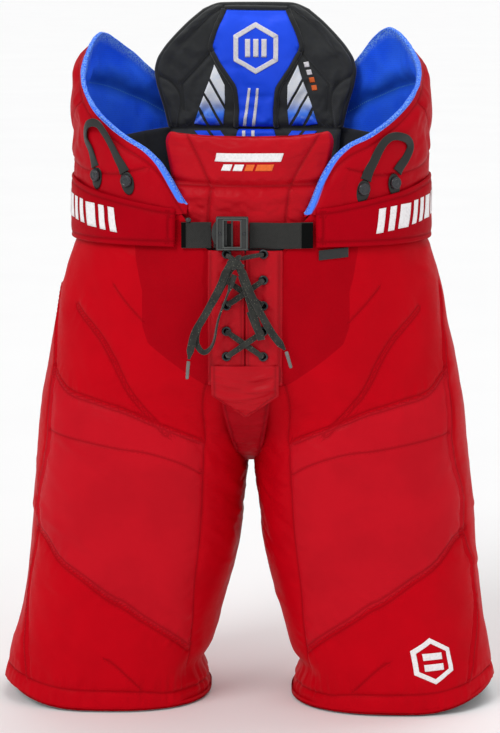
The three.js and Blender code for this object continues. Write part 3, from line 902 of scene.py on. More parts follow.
def ring_places(front, back, corner=6):
    """Places round a flat pad's section: u from -1 to 1, and depth from 0 (front) to 1 (back)."""
    u = [-1 + 2 * i / (front - 1) for i in range(front)]
    turn = [math.radians(90 * i / corner) for i in range(1, corner)]
    places = [(x, 0.0, 0.0) for x in u]
    places += [(1.0, math.sin(t) * 0.5, math.sin(t)) for t in turn]
    places += [(1.0, 1 - math.cos(t) * 0.5, math.cos(t)) for t in turn]
    places += [(1 - 2 * i / (back - 1), 1.0, 0.0) for i in range(back)]
    places += [(-1.0, 1 - 0.5 * math.sin(t), math.sin(t)) for t in turn]
    places += [(-1.0, 0.5 * math.cos(t), math.cos(t)) for t in turn]
    return np.array(places)


def pad(name, place, half_width, levels, thickness, relief, material, front, back, round_off, lines=(),
        back_relief=None, filled=None):
    """A cushion between two faces. place(x, z, depth) is its space, and relief(x, z, at) its crown in mm."""
    places = ring_places(front, back)
    z = np.asarray(levels, float)[:, None]
    ends = rounding((z.max() - z) / round_off, 0.02) * rounding((z - z.min()) / round_off, 0.02)
    u, depth, side = places[:, 0][None], places[:, 1][None], places[:, 2][None]
    half = half_width(z) - round_off * 0.55
    x = u * half + np.sign(u) * side * round_off * 0.55 * ends
    edge = np.clip((half_width(z) - np.abs(x)) / round_off, 0, 1)
    thin = ends * (0.25 + 0.75 * rounding(edge))
    where = 0.5 + (depth - 0.5) * thin
    level = z + 0 * x
    grid = place(x, level, where * thickness)
    at = np.stack([x, level], -1)
    crown = relief(x, level, at) * (depth < 0.3) * np.minimum(edge * 1.5, 1) * ends
    if back_relief:
        crown = crown - back_relief(x, level, at) * (depth > 0.7) * np.minimum(edge * 1.5, 1) * ends
    grid[..., 1] -= crown
    signed, along = seams(at, *lines) if lines else (np.full(x.shape, 99.0), np.zeros(x.shape))
    if filled:
        rim = bump(edge, 0.6) + (depth > 0.05) * (depth < 0.95) + bump(signed, 4.0) * (depth < 0.3)
        shift = billow(grid, np.clip(rim + filled(x, level, depth), 0, 1), wrap=True, cap=3.0)
        grid = grid + shift
        CARRIED[name] = (np.asarray(levels, float), half_width, shift[:, :front])
    signed = np.where(depth > 0.3, 99.0, signed)
    return closed(name, grid, {"warp": x, "weft": level, "seam": signed, "along": along}, material)


def crowned(at, paths, height, reach, groove, groove_width=2.0):
    """Cloth that stands up between seams and dips along them."""
    near = np.full(at.shape[:-1], 999.0)
    for path in paths:
        near = np.minimum(near, np.abs(follow(at, path)[0]))
    return height * (1 - np.exp(-near / reach)) - groove * bump(near, groove_width)


# ---------------------------------------------------------------- side wings

wing_top = {1: table((15.5, 18), (18, 33), (20, 57), (25, 84), (31, 98), (40, 108), (50, 123), (65, 146),
                     (88, 174), (100, 191), (108, 203), (116, 214), (123, 219), (130, 214), (137, 203),
                     (145, 182), (152, 160), sigma=1.6),
            -1: table((15.5, 28), (17, 36), (20, 54), (24, 76), (30, 92), (40, 106), (50, 122), (65, 146),
                      (82, 173), (89, 192), (97, 208), (105, 213.5), (114, 211), (124, 202), (135, 188),
                      (145, 167), (152, 152), sigma=1.6)}
WING_FRONT, WING_BACK, WING_BOTTOM, WING_FOAM = 15.6, 152, 38, 11
WING_CHART = 3.1  # mm per degree round a wing
RIM_RADIUS = 2.7
EDGING_END = {1: 23, -1: 35}  # its height at the front
SKIRT_BOTTOM = 21  # the outer cloth hangs down between the shell and the band


def wing_normal(side, degrees, z):
    ahead = trunk(side, degrees + 1, z) - trunk(side, degrees - 1, z)
    return unit(np.stack([ahead[..., 1], -ahead[..., 0], 0 * ahead[..., 0]], -1) * side)


def collar(side, degrees, z):
    """How far inside the blue edging a point of the wing's outside lies, in mm. It widens to the front."""
    along_top = np.linspace(WING_FRONT, WING_BACK, 180)
    edge = np.stack([along_top * WING_CHART, wing_top[side](along_top)], -1)
    edge = edge[edge[:, 1] > EDGING_END[side]]
    away = np.abs(follow(np.stack([degrees * WING_CHART, z], -1), edge)[0])
    return 1.2 + 4.0 * smooth(48, 21, degrees) - away


def wing_relief(side, degrees, z):
    """Crown and creases of a wing's red outside, in mm."""
    top = wing_top[side](degrees)
    at = np.stack([degrees * WING_CHART, z], -1)
    rim = 1 - np.exp(-np.maximum(top - z, 0) / 9)
    height = 1.6 * rim - 1.0
    height -= 1.3 * bump(top - z - 13, 2.2)
    for points in WING_SEAMS:
        height -= 1.3 * bump(follow(at, on_chart(points, WING_CHART, 20))[0], 2.2)
    base = trunk(side, degrees, z)
    height += 1.3 * noise(base * (1, 1, 0.7), 44, seed=51 + side, octaves=3)
    height += 0.8 * ripple(degrees / 3.0, z / 40, 57 + side) * smooth(44, 22, degrees)
    height += 2.4 * bump(degrees - 92, 24) * smooth(160, 182, z) * smooth(2, 16, top - z)
    height -= 2.4 * bump(degrees - 85, 30) * smooth(80, 105, z) * smooth(172, 150, z)
    return height + 0.6 * smooth(34, 22, degrees) + 0.9 * smooth(-0.8, 0.8, collar(side, degrees, z))


WING_SEAMS = ([(30, 70), (44, 62), (66, 66), (84, 76), (100, 88)], [(70, 138), (84, 108), (88, 62)],
              [(118, 205), (122, 140), (124, 60)])
INSIDE_FOLD = [(151, 116), (142, 130), (133, 139), (124, 147), (112, 153), (100, 156)]


def wing(word, side):
    degrees = np.concatenate([WING_FRONT + np.array([0, 0.25, 0.6, 1.1]), np.linspace(17.4, 150.2, 156),
                              WING_BACK - np.array([1.1, 0.6, 0.25, 0])])
    top = wing_top[side](degrees)
    count = 44
    up = np.linspace(0, 1, count)
    turn = np.radians(np.linspace(0, 180, 15))[1:-1]
    radius = WING_FOAM / 2
    away = np.minimum(degrees - WING_FRONT, WING_BACK - degrees)
    slim = rounding(away / 1.9, 0.03)
    rows, rings = [], []
    for i, d in enumerate(degrees):
        h = RIM_RADIUS * slim[i]
        crest = top[i] - h
        low = min(WING_BOTTOM + 0.2, crest - 1)
        bottom = min(SKIRT_BOTTOM, crest - 4)
        skirt = bottom + (crest - bottom) * up
        taper = 1 - smooth(0, 26, crest - skirt)
        hub = 2 * radius - RIM_RADIUS + 3.0 * bump(d - 95, 22)  # the rim curls inwards
        outside = np.stack([skirt, -0.3 + (hub - h + 0.3) * taper], -1)
        over = np.stack([crest + h * np.sin(turn), hub - h * np.cos(turn)], -1)
        z_in = low + (crest - low) * up[::-1]
        inside = np.stack([z_in, hub + h - (hub + h - 2 * radius) * (1 - smooth(30, 0, crest - z_in))], -1)
        under = np.array([low, low - 0.4, (low + bottom) / 2, bottom])
        under = np.stack([under, 0.9 + (hub - h + 0.3) * (1 - smooth(0, 26, crest - under))], -1)
        ring = np.vstack([outside, over, inside, under])
        rows.append(trunk(side, np.full(len(ring), d), ring[:, 0], ring[:, 1]))
        rings.append(ring)
    grid, ring = np.array(rows), np.array(rings)
    dd = degrees[:, None] + 0 * ring[..., 0]
    normal = wing_normal(side, dd, ring[..., 0])
    outer = np.zeros(ring.shape[1], bool)
    outer[:count] = True
    relief = wing_relief(side, dd, ring[..., 0]) * outer
    at = np.stack([dd * WING_CHART, ring[..., 0]], -1)
    inside = np.zeros(ring.shape[1])
    inside[count + len(turn):-4] = 1
    depth_in = top[:, None] - ring[..., 0]
    hollow = 2.6 * (1 - np.exp(-np.maximum(depth_in - 6, 0) / 12))
    crease, place = follow(at, on_chart(INSIDE_FOLD, WING_CHART, 24))
    hollow -= 4.2 * bump(crease, 7) * smooth(2, 22, depth_in)
    hollow += 2.2 * bump(crease + 20, 14) * smooth(6, 26, depth_in)
    hollow += 0.9 * noise(grid, 30, seed=63 + side)
    grid -= normal * (hollow * inside * 0.8 * slim[:, None])[..., None]
    grid += normal * relief[..., None]
    grid += normal * (0.5 * noise(grid, 3.2, seed=70, octaves=1) * ~outer * (1 - inside))[..., None]
    signed, along = seams(at, *[on_chart(p, WING_CHART, 20) for p in WING_SEAMS])
    sewn = (bump(signed, 4) * outer + bump(crease, 6) * inside + bump(depth_in - 13, 3) * outer +
            smooth(12, 5, depth_in))
    under_loop = smooth(26, 31, dd) * smooth(68, 63, dd) * smooth(130, 122, ring[..., 0])
    sewn = sewn + smooth(52, 45, ring[..., 0]) + under_loop + smooth(5, 1.5, away)[:, None]
    grid = grid + billow(grid, np.clip(sewn, 0, 1), wrap=True, cap=3.2, pressure=4.0)
    edge = depth_in - 13
    nearer = np.abs(edge) < np.abs(signed)
    signed, along = np.where(nearer, edge, signed), np.where(nearer, dd * WING_CHART, along)
    signed = np.where(outer[None], signed, np.where(inside[None] > 0, crease, 99.0))
    marks = {"warp": dd * WING_CHART, "weft": ring[..., 0], "seam": signed,
             "along": np.where(outer[None], along, place),
             "rim": np.where(inside[None] > 0, 9 - depth_in, 9.0),
             "crease": 22 - np.abs(crease + 5) - np.maximum(108 - dd, 0) * 0.9, "deep": depth_in - 62,
             "collar": np.where(outer[None], np.clip(collar(side, dd, ring[..., 0]), -9, 9), -9.0)}
    made = closed(f"wing_{word}", grid, marks, LOOKS["red"])
    made.data.materials.append(LOOKS["mesh"])
    columns = grid.shape[1]
    index = np.zeros(len(made.data.polygons), np.int32)
    for face in made.data.polygons:
        column = np.median([v % columns for v in face.vertices]) if len(face.vertices) == 4 else 0
        if len(face.vertices) == 4 and count - 2 <= column < columns - 5:
            index[face.index] = 1
    made.data.polygons.foreach_set("material_index", index)
    finish_piece(made, None, "shell_red", f"hip_wing_{word}",
                 blend=("pelvis", f"{word}_wing", (side * 0.15, 0, 0.038), (side * 0.15, 0, 0.050)),
                 fill=0.7)


def spacer_mesh():
    """Blue spacer mesh: fine pores, a fuzzy rim painted paler as a highlight, and painted shade deeper
    inside and along the fold.
    """
    g = Graph("spacer_mesh_blue")
    warp, weft = g.attribute("warp"), g.attribute("weft")
    cell = g.node("ShaderNodeCombineXYZ", {"X": g.times(warp, 0.42), "Y": g.times(weft, 0.42)})
    pore = g.band(g.node("ShaderNodeTexVoronoi", {"Vector": cell, "Scale": 1.0, "Randomness": 0.25}), 0.12,
                  0.42)
    tone = g.band(g.noise(48, 3), 0.3, 0.7)
    body = g.mix(tone, hexed("145AFF"), hexed("2A6CFF"))
    # painted shade: the mesh darkens further down inside the wing
    body = g.mix(g.times(g.band(g.attribute("deep"), -20, 55), 0.3), body, hexed("0F4CC4"))
    # painted shade along the inside fold
    crease = g.band(g.attribute("crease"), 0, 24)
    body = g.mix(g.times(crease, 0.55), body, hexed("0A4470"))
    # painted highlight: the top edge of the lining is painted paler, broken up by fuzz
    rim = g.band(g.attribute("rim"), -6, 5)
    fuzz = g.band(g.noise(1.6, 2), 0.38, 0.62)
    body = g.mix(rim, body, g.mix(fuzz, hexed("2F6BFF"), hexed("7FB0FF")))
    body = g.mix(g.times(g.math("SUBTRACT", 1.0, pore), 0.3), body, hexed("0A36B0"))
    seam, along = g.attribute("seam"), g.attribute("along")
    dots = g.times(g.band(g.math("ABSOLUTE", seam), 0.5, 0.9, 1.0, 0.0),
                  g.band(g.math("SINE", g.times(along, 2.0)), 0.0, 0.4))
    body = g.mix(g.times(dots, 0.6), body, hexed("5FA8C0"))
    height = g.plus(g.times(pore, 0.22), g.times(fuzz, g.times(rim, 0.4)))
    g.set(Base_Color=body, Roughness=0.8, Normal=g.relief(0.8, height))
    return g.set(Sheen_Weight=0.25, Sheen_Tint=hexed("3F7DFF"), Specular_IOR_Level=0.2)


LOOKS["mesh"] = spacer_mesh()
for word, side in SIDES:
    wing(word, side)

# ---------------------------------------------------------------- suspender loops and buttons

BUTTONS = {1: (("outer", (51, 53), 10), ("inner", (36, 48), -14)),
           -1: (("outer", (53.5, 60), 4), ("inner", (37, 56), -14))}
LOOP = {1: [(52.2, 65), (53.8, 71), (57, 80), (59, 91), (56.5, 99.5), (51, 104), (47, 104), (44, 99),
            (42, 91), (40, 79), (38, 68), (36.8, 57.5)],
        -1: [(53.9, 69), (54.9, 77), (56.5, 88), (59, 98), (58.5, 108), (56, 115.5), (52, 118), (49, 116),
             (47, 110), (45, 102), (43, 92), (41, 81), (39, 72), (37.8, 65)]}


def at_wing(side, degrees, z, out):
    degrees, z = np.asarray(degrees, float), np.asarray(z, float)
    normal = wing_normal(side, degrees, z)
    return trunk(side, degrees, z) + normal * np.asarray(out, float)[..., None], normal


def loop_path(side, t):
    steps = 120
    chart = on_chart(LOOP[side], WING_CHART, steps) / (WING_CHART, 1)
    degrees, z = (np.interp(t, np.linspace(0, 1, steps), chart[:, k]) for k in (0, 1))
    return at_wing(side, degrees, z, 1.7 + 3 * np.sin(np.pi * t) ** 4)


def suspender_loop(word, side):
    t = np.linspace(0, 1, 90)
    path, out = loop_path(side, t)
    heading = tangents(path)
    across = unit(np.cross(heading, out))
    out = np.cross(across, heading)
    lean = np.radians(14) * np.sin(2 * np.pi * t)[:, None]
    across, out = leaned(across, out, lean)
    width = 6.9 - 2.4 * np.sin(np.pi * t) ** 0.5
    strap = sweep(f"suspender_strap_{word}", path, across, out, width, 0.95, LOOKS["rubber"], ring=14,
                  square=0.5)
    finish_piece(strap, f"{word}_loop", "strap_black", f"suspender_loop_{word}")
    for name, (degrees, z), lay in BUTTONS[side]:
        centre, out = at_wing(side, degrees, z, 0.0)
        flat = unit(np.cross([0, 0, 1.0], out))
        rise = np.cross(out, flat)
        a = circle(32)
        # the strap's rounded end, under the button
        tab = []
        drop = np.where(np.sin(a) < 0, 1.5, 1.25)
        tilt = math.radians(lay) * side
        for share, lift in ((0.0, 2.0), (0.6, 2.0), (0.92, 1.9), (1.0, 1.3), (0.97, 0.8), (0.0, 0.8)):
            reach = 9.6 * share
            lx, lz = reach * np.cos(a) * 0.88, reach * np.sin(a) * drop
            lx, lz = lx * math.cos(tilt) - lz * math.sin(tilt), lx * math.sin(tilt) + lz * math.cos(tilt)
            tab.append(centre + flat * lx[:, None] + rise * (lz - 1.5)[:, None] + out * lift)
        piece = closed(f"suspender_tab_{word}_{name}", np.array(tab), plain(6, 32), LOOKS["rubber"])
        finish_piece(piece, f"{word}_wing", "strap_black")
        # a domed snap button with a rolled edge and a dished middle
        rings = []
        for radius, lift in ((0.0, 2.4), (6.4, 2.4), (7.0, 3.0), (7.1, 4.0), (6.8, 5.0), (6.2, 5.9),
                             (5.4, 6.35), (4.6, 6.2), (4.1, 5.7), (3.4, 5.6), (2.0, 6.0), (0.8, 6.3),
                             (0.0, 6.35)):
            rings.append(centre + flat * (radius * np.cos(a))[:, None]
                         + rise * (radius * np.sin(a))[:, None] + out * lift)
        button = closed(f"snap_{word}_{name}", np.array(rings), None, LOOKS["button"])
        finish_piece(button, f"{word}_wing", "button_plastic", f"suspender_button_{word}_{name}")


LOOKS["rubber"] = fabric("coated_strap", "1D1E1C", weave=2.0, rough=0.45, sheen=0.0, depth=0.8,
                         stitched=False, crumple=0.05, mottle=0.2)
for word, side in SIDES:
    suspender_loop(word, side)

# ---------------------------------------------------------------- hip band

band_top = table((0, 26), (19, 27), (40, 37.5), (60, 46), (82, 57), (180, 52), sigma=5)
BAND_LOW, BAND_FROM, BAND_TO = -14.3, 18.4, 341.6
BAND_CHART = 3.2  # mm per degree round the band
BAND_BACK = 1.9  # the band's back stands this far off the trunk


def band_top_at(degrees):
    return band_top(np.minimum(degrees, 360 - degrees))


def around(degrees, z, out):
    """A point that stands out from the trunk, all the way round it."""
    return trunk(1, degrees, z, -out)


def band_relief(degrees, z):
    top = band_top_at(degrees)
    v = (z - BAND_LOW) / (top - BAND_LOW)
    crown = 2.6 * np.sin(np.pi * np.clip(v, 0, 1)) ** 0.6
    place = around(degrees, z, 0)
    wrinkle = 0.8 * noise(place * (1, 1, 1.4), 34, seed=81, octaves=3)
    away = np.minimum(degrees - BAND_FROM, BAND_TO - degrees)
    slant = ripple(away / 4.2 + v * 2.2, v * 1.2, 88)
    pulls = 1.3 * slant * smooth(18, 3, away)
    edges = (-0.9 * bump(z - BAND_LOW - 6, 1.9) - 0.9 * bump(top - z - 6, 1.9) -
             1.1 * bump((away - 2.0) * BAND_CHART, 2.0))
    for angle in (106, 150, 210, 254):
        edges = edges - 1.0 * bump((degrees - angle) * BAND_CHART, 2.0)
    return 4.6 + crown + wrinkle + pulls + edges


def band():
    degrees = np.concatenate([BAND_FROM + np.array([0, 0.2, 0.6]), np.linspace(19.4, 340.6, 430),
                              BAND_TO - np.array([0.6, 0.2, 0])])
    rows_up, edge = 24, 2.5  # points up the front, and the radius of the rolled edges
    outer = np.linspace(0.0, 1.0, rows_up)
    turn = np.radians(np.linspace(0, 180, 8))[1:-1]
    rows, marks = [], []
    for d in degrees:
        top = band_top_at(d)
        away = min(d - BAND_FROM, BAND_TO - d)
        slim = rounding(away, 0.03)
        z = BAND_LOW + edge + (top - BAND_LOW - 2 * edge) * outer
        out = BAND_BACK + (band_relief(np.full(len(z), d), z) - BAND_BACK) * slim
        over_out = (out[-1] + BAND_BACK) / 2 + (out[-1] - BAND_BACK) / 2 * np.cos(turn)
        under_out = (out[0] + BAND_BACK) / 2 - (out[0] - BAND_BACK) / 2 * np.cos(turn)
        back_z = z[::-3]
        ring_z = np.concatenate([z, z[-1] + edge * np.sin(turn), back_z, z[0] - edge * np.sin(turn)])
        ring_out = np.concatenate([out, over_out, np.full(len(back_z), BAND_BACK), under_out])
        rows.append(around(np.full(len(ring_z), d), ring_z, ring_out))
        marks.append(ring_z)
    grid, ring_z = np.array(rows), np.array(marks)
    dd = degrees[:, None] + 0 * ring_z
    top = band_top_at(dd)
    lanes = np.stack([ring_z - BAND_LOW - 6, top - ring_z - 6,
                      (np.minimum(dd - BAND_FROM, BAND_TO - dd) - 2) * BAND_CHART], -1)
    pick = np.abs(lanes).argmin(-1)
    signed = np.take_along_axis(lanes, pick[..., None], -1)[..., 0]
    along = np.where(pick == 2, ring_z, dd * BAND_CHART)
    signed = np.where(np.arange(ring_z.shape[1])[None] < rows_up, signed, 99)
    made = closed("band_padding", grid,
                  {"warp": dd * BAND_CHART, "weft": ring_z, "seam": signed, "along": along}, LOOKS["band"])
    finish_piece(made, "pelvis", "shell_red", "hip_band", fill=0.5)


band()


def decal(name, corners, place, material, across=8, up=6, lift=0.25, thick=0.35):
    """A printed patch draped over a surface: corners run (low left, low right, high right, high left)."""
    c = np.array(corners, float)
    s, t = np.linspace(0, 1, across + 1)[:, None], np.linspace(0, 1, up + 1)[None, :]
    chart = sum(w[..., None] * p for w, p in zip(((1 - s) * (1 - t), s * (1 - t), s * t, (1 - s) * t), c))
    upper, lower = (place(chart[..., 0], chart[..., 1], height) for height in (lift + thick, lift))
    return two_faced(name, upper, lower, chart, material)


def upright(left, right, low, high):
    """The corners of a patch with level and upright sides."""
    return [(left, low), (right, low), (right, high), (left, high)]


def hexagon(x, z, outer, inner, place, up):
    """Six patches in a ring."""
    rims, cores = ([(x + radius * math.sin(math.radians(60 * i)),
                     z + radius * math.cos(math.radians(60 * i)))
                    for i in range(6)] for radius in (outer, inner))
    return [decal("hexagon", [cores[i], rims[i], rims[i - 5], cores[i - 5]], place, LOOKS["white"], 6, up)
            for i in range(6)]


def ink(name, colour):
    """Screen ink: even, with a little of the cloth showing through as grain."""
    g = Graph(name)
    base = hexed(colour)
    g.set(Base_Color=g.mix(g.band(g.noise(2.4, 3), 0.35, 0.75), base, shade(base, 0.86)), Roughness=0.55,
          Normal=g.relief(0.3, g.times(g.noise(1.2, 2), 0.12)))
    return g.set(Specular_IOR_Level=0.35)


LOOKS["white"] = ink("white_print", "F4F1F2")
LOOKS["orange"] = ink("orange_print", "EE6A24")


def on_band(side):
    def place(degrees, z, out):
        turned = degrees if side > 0 else 360 - degrees
        return around(turned, z, band_relief(turned, z) + out)
    return place


for word, side in SIDES:
    bars = []
    for i, (start, wide) in enumerate(((40, 3.2), (45.5, 3.2), (51, 6.5), (60, 3.2), (65.5, 3.2), (71, 6.5),
                                       (80, 3.2), (85.5, 3.2))):
        base, top = -1.5 + 0.34 * (start - 38), 25.5 + 0.30 * (start - 38)
        tilt = 2.2 * side
        bars.append(decal(f"bar_{i}", [(start, base), (start + wide, base + 0.9),
                                       (start + wide + 1.8, top + 0.9), (start + 1.8, top)], on_band(side),
                                       LOOKS["white"]))
    finish_piece(joined(f"band_bars_{word}", bars), "pelvis", "shell_red")

# ---------------------------------------------------------------- belt and buckle


def trunk_front(x, z):
    share = np.abs(x / trunk_half_width(z)) ** ROUNDNESS
    return -trunk_half_depth(z) * (1 - share) ** (1 / ROUNDNESS)


def over_trunk(gap):
    """A place for what lies flat over the front of the trunk."""
    return lambda x, z, out: np.stack([x, trunk_front(x, z) - gap - out, z], -1)


BELT_LOW, BELT_HIGH = -15.4, 13.0


def strap(word, x_from, x_to, node):
    """Webbing: flat, ribbed along its width, with turned selvedges and a slight wave."""
    x = np.linspace(x_from, x_to, 60)
    middle = (BELT_LOW + BELT_HIGH) / 2
    count = 30
    a = np.linspace(0, 2 * np.pi, count, endpoint=False)
    v = np.sign(np.cos(a)) * np.abs(np.cos(a)) ** 0.4
    depth = np.sign(np.sin(a)) * np.abs(np.sin(a)) ** 0.35
    half = (BELT_HIGH - BELT_LOW) / 2
    z = middle + half * v[None, :] + 0.25 * np.sin(x / 9)[:, None]
    wave = 0.35 * np.sin(x / 7 + 1)[:, None] + 0.25 * ripple(x / 14, 0 * x, 4)[:, None]
    xx = x[:, None] + 0 * z
    selvedge = 0.3 * bump((np.abs(v) - 0.86)[None, :] * 14, 1.4)
    thick = 0.8 + selvedge
    y = trunk_front(xx, z) - 1.3 + wave * 0.4 - depth[None, :] * thick
    grid = np.stack([xx, y, z], -1)
    made = closed(f"webbing_{word}", grid, {"warp": xx, "weft": z}, LOOKS["webbing"])
    finish_piece(made, "pelvis", "webbing", node)


strap("right", -69.8, -36.9, "belt_strap_right")
strap("left", 4.5, 73.6, "belt_strap_left")
for word, x, half in (("right", -67.6, 2.4), ("left", 67.6, 6.2)):  # black stitched ends
    piece = decal(f"strap_end_{word}", upright(x - half, x + half, BELT_LOW + 0.6, BELT_HIGH - 0.6),
                  over_trunk(2.6), LOOKS["bound"], 10, 14, 0.0, 0.5)
    finish_piece(piece, "pelvis", "strap_black")
rivet = ring_of((-62, -139.5, 15.4), ((0, 0), (3.0, 0), (3.4, 0.8), (3.0, 1.8), (1.8, 2.4), (0, 2.6)), 24,
                (1, 0.8))
finish_piece(closed("strap_rivet", rivet, None, LOOKS["buckle"]), "pelvis", "button_plastic")


def bevelled(name, outline, windows, back, front, bevel, material):
    """A flat frame with a window, its edges bevelled front and back."""
    flat = bpy.data.curves.new(name, "CURVE")
    flat.dimensions = "2D"
    flat.fill_mode = "BOTH"
    flat.extrude = (front - back) / 2 * MM - bevel * MM
    flat.bevel_depth = bevel * MM
    flat.bevel_resolution = 3
    flat.offset = -bevel * MM
    for ring in (outline, *windows):
        spline = flat.splines.new("POLY")
        spline.points.add(len(ring) - 1)
        for point, (x, z) in zip(spline.points, ring):
            point.co = (x * MM, z * MM, 0, 1)
        spline.use_cyclic_u = True
    holder = bpy.data.objects.new(name + "_outline", flat)
    bpy.context.scene.collection.objects.link(holder)
    graph = bpy.context.evaluated_depsgraph_get()
    solid = bpy.data.meshes.new_from_object(holder.evaluated_get(graph))
    bpy.data.objects.remove(holder)
    points = np.array([v.co for v in solid.vertices]) / MM
    faces = [list(f.vertices) for f in solid.polygons]
    middle = -(front + back) / 2
    placed = np.stack([points[:, 0], middle - points[:, 2], points[:, 1]], -1)
    made = build(name, placed, faces, None, material)
    for polygon in made.data.polygons:
        polygon.use_smooth = False
    return made


def rounded(left, bottom, right, top, radius, steps=5):
    ring = []
    for cx, cz, start in ((right - radius, top - radius, 0), (left + radius, top - radius, 90),
                          (left + radius, bottom + radius, 180), (right - radius, bottom + radius, 270)):
        for i in range(steps + 1):
            a = math.radians(start + 90 * i / steps)
            ring.append((cx + radius * math.cos(a), cz + radius * math.sin(a)))
    return ring


low, high = box_mm("buckle_frame")
left, right, bottom, top = low[0], high[0], low[2], high[2]
face, rear = -low[1], -high[1]


def framed(sides, below, above, radius):
    """A rounded outline inside the buckle frame's."""
    return rounded(left + sides, bottom + below, right - sides, top - above, radius)


parts = [
    bevelled("frame", framed(0, 0, 0, 1.6), [framed(9, 3.8, 4, 1.0)], rear, face - 1.2, 0.7,
             LOOKS["buckle"]),
    # the raised rims take the paler plastic: painted highlight
    bevelled("rim", framed(0.8, 0.8, 0.8, 1.4), [framed(2.2, 2.2, 2.2, 1.0)], rear + 3, face, 0.3,
             LOOKS["buckle_rim_highlight"]),
    bevelled("window_rim", framed(7.2, 2.6, 2.8, 1.2), [framed(8.8, 4.2, 4.4, 0.8)], rear + 3, face - 0.2,
             0.3, LOOKS["buckle_rim_highlight"]),
    bevelled("crossbar", rounded(left + 16.6, bottom + 3, left + 18.4, top - 3, 0.6), [], rear + 0.4,
             face - 2.6, 0.3, LOOKS["buckle"]),
]
for x in (left + 4.4, right - 4.4):  # pins
    pin = ring_of((x, -face, 2), ((0, -2), (1.5, -2), (1.5, -0.2), (1.1, 0.3), (0, 0.45)), 16)
    parts.append(closed("pin", pin, None, LOOKS["button"]))
finish_piece(joined("buckle_cast", parts), "buckle", "buckle_plastic", "buckle_frame")
low, high = box_mm("buckle_hook_plate")
middle, half, bulge = (low[2] + high[2]) / 2, (high[2] - low[2]) / 2, 9
bow = [(high[0], low[2]), (high[0], high[2]), (low[0] + bulge, high[2])]
bow += [(low[0] + bulge - bulge * math.sin(math.radians(t)), middle + half * math.cos(math.radians(t)))
        for t in range(15, 180, 15)] + [(low[0] + bulge, low[2])]
plate = bevelled("hook_plate", bow, [], -high[1], -low[1], 0.5, LOOKS["buckle"])
finish_piece(plate, "pelvis", "buckle_plastic", "buckle_hook_plate")
# strap that runs under the buckle's window
under = decal("strap_under_buckle", upright(left - 3, left + 17, BELT_LOW + 1, BELT_HIGH - 1),
              over_trunk(1.2), LOOKS["webbing"], 14, 14, 0.0, 1.4)
finish_piece(under, "pelvis", "webbing")


# ---------------------------------------------------------------- fly

FLY_TOP, FLY_BOTTOM, EYELET_TOP, EYELET_PITCH = -17.5, -166, -21, 28


def placket_face(z):
    return -trunk_half_depth(z) - 3.5


def eyelet_height(row):
    return EYELET_TOP - row * EYELET_PITCH


def placket_relief(side, middle):
    def relief(x, z, at):
        x = x + middle
        height = 0.9 * (1 - np.exp(-np.minimum(np.abs(x), 41 - np.abs(x)) / 4)) - 0.4
        height -= 0.7 * bump(np.abs(x) - 37, 1.6)
        for row in range(5):
            away = np.hypot(np.abs(x) - 20, z - eyelet_height(row))
            angle = np.arctan2(z - eyelet_height(row), np.abs(x) - 20)
            height += 0.5 * np.sin(angle * 5 + row) * bump(away - 9, 6) - 1.1 * bump(away, 6)
        pulls = ripple(np.abs(x) / 14, (z + 0.7 * np.abs(x)) / 6.5, 5 + side)
        height += 0.8 * pulls * (0.35 + smooth(-135, -160, z))
        return height
    return relief


for word, side in SIDES:
    middle = 20.7 * side

    def place(x, z, depth, middle=middle):
        sewn_down = 4.2 * smooth(28, 41, np.abs(x + middle)) ** 1.5
        return np.stack([x + middle, placket_face(z) + 0.6 + depth + sewn_down, z], -1)

    edge = [np.array([(x, -160.0), (x, -22.0)]) for x in (-17.0, 17.0)]
    made = pad(f"placket_{word}", place, lambda z: 20.2 + 0 * z, np.linspace(FLY_BOTTOM, FLY_TOP, 110), 1.9,
               placket_relief(side, middle), LOOKS["placket"], front=40, back=8, round_off=1.6, lines=edge)
    finish_piece(made, "pelvis", "panel_dark_red", f"fly_placket_{word}")

made = pad("tongue", lambda x, z, depth: np.stack([x, placket_face(z) + 5.2 + depth, z], -1),
           lambda z: 35.5 + 0 * z, np.linspace(FLY_BOTTOM + 8, FLY_TOP - 4, 60), 2.2, lambda x, z,
           at: 0.5 * noise(at, 16, seed=9), LOOKS["gusset"], front=40, back=8, round_off=2)
finish_piece(made, "pelvis", "panel_dark_red", "fly_tongue")


rings, holes = [], []
for word, side in SIDES:
    for row in range(5):
        node = f"eyelet_{word}_{row + 1}"
        low, high = box_mm(node)
        centre = ((low[0] + high[0]) / 2, high[1], (low[2] + high[2]) / 2)
        grid = ring_of(centre, ((5.2, -0.3), (5.3, 0.2), (5.1, 0.8), (4.6, 1.2), (4.0, 1.3), (3.5, 1.1),
                                (3.1, 0.5), (2.95, -0.4), (3.2, -0.9), (4.6, -0.9)))
        faces = outward(quads(*grid.shape[:2], wrap_rows=True, wrap_columns=True), grid)
        rings.append(build("ring", grid, faces, None, LOOKS["eyelet"]))
        # a near-black disc in each hole: painted shade
        plug = ring_of(centre, ((0, 0.1), (1.6, 0.1), (3.1, 0.0), (3.1, -0.4), (0, -0.5)))
        holes.append(closed("hole", plug, None, LOOKS["dark"]))
made = joined("eyelet_rings", rings)
finish_piece(made, "pelvis", "eyelet_metal",
             *[f"eyelet_{word}_{row}" for word, _ in SIDES for row in range(1, 6)])
finish_piece(joined("eyelet_holes", holes), "pelvis", "pad_black")

# ---------------------------------------------------------------- lacing


def lace(name, route, width, twist=0.0, count=50):
    path = curve(route, count)
    lean = np.radians(twist) * np.sin(np.linspace(0, np.pi, count))[:, None]
    across, out = leaned(*facing(path), lean)
    ends = 1 - 0.35 * (1 - np.sin(np.linspace(0, np.pi, count)) ** 0.35)
    return sweep(name, path, across, out, width / 2 * ends, 0.8, LOOKS["lace"], ring=14, square=0.45)


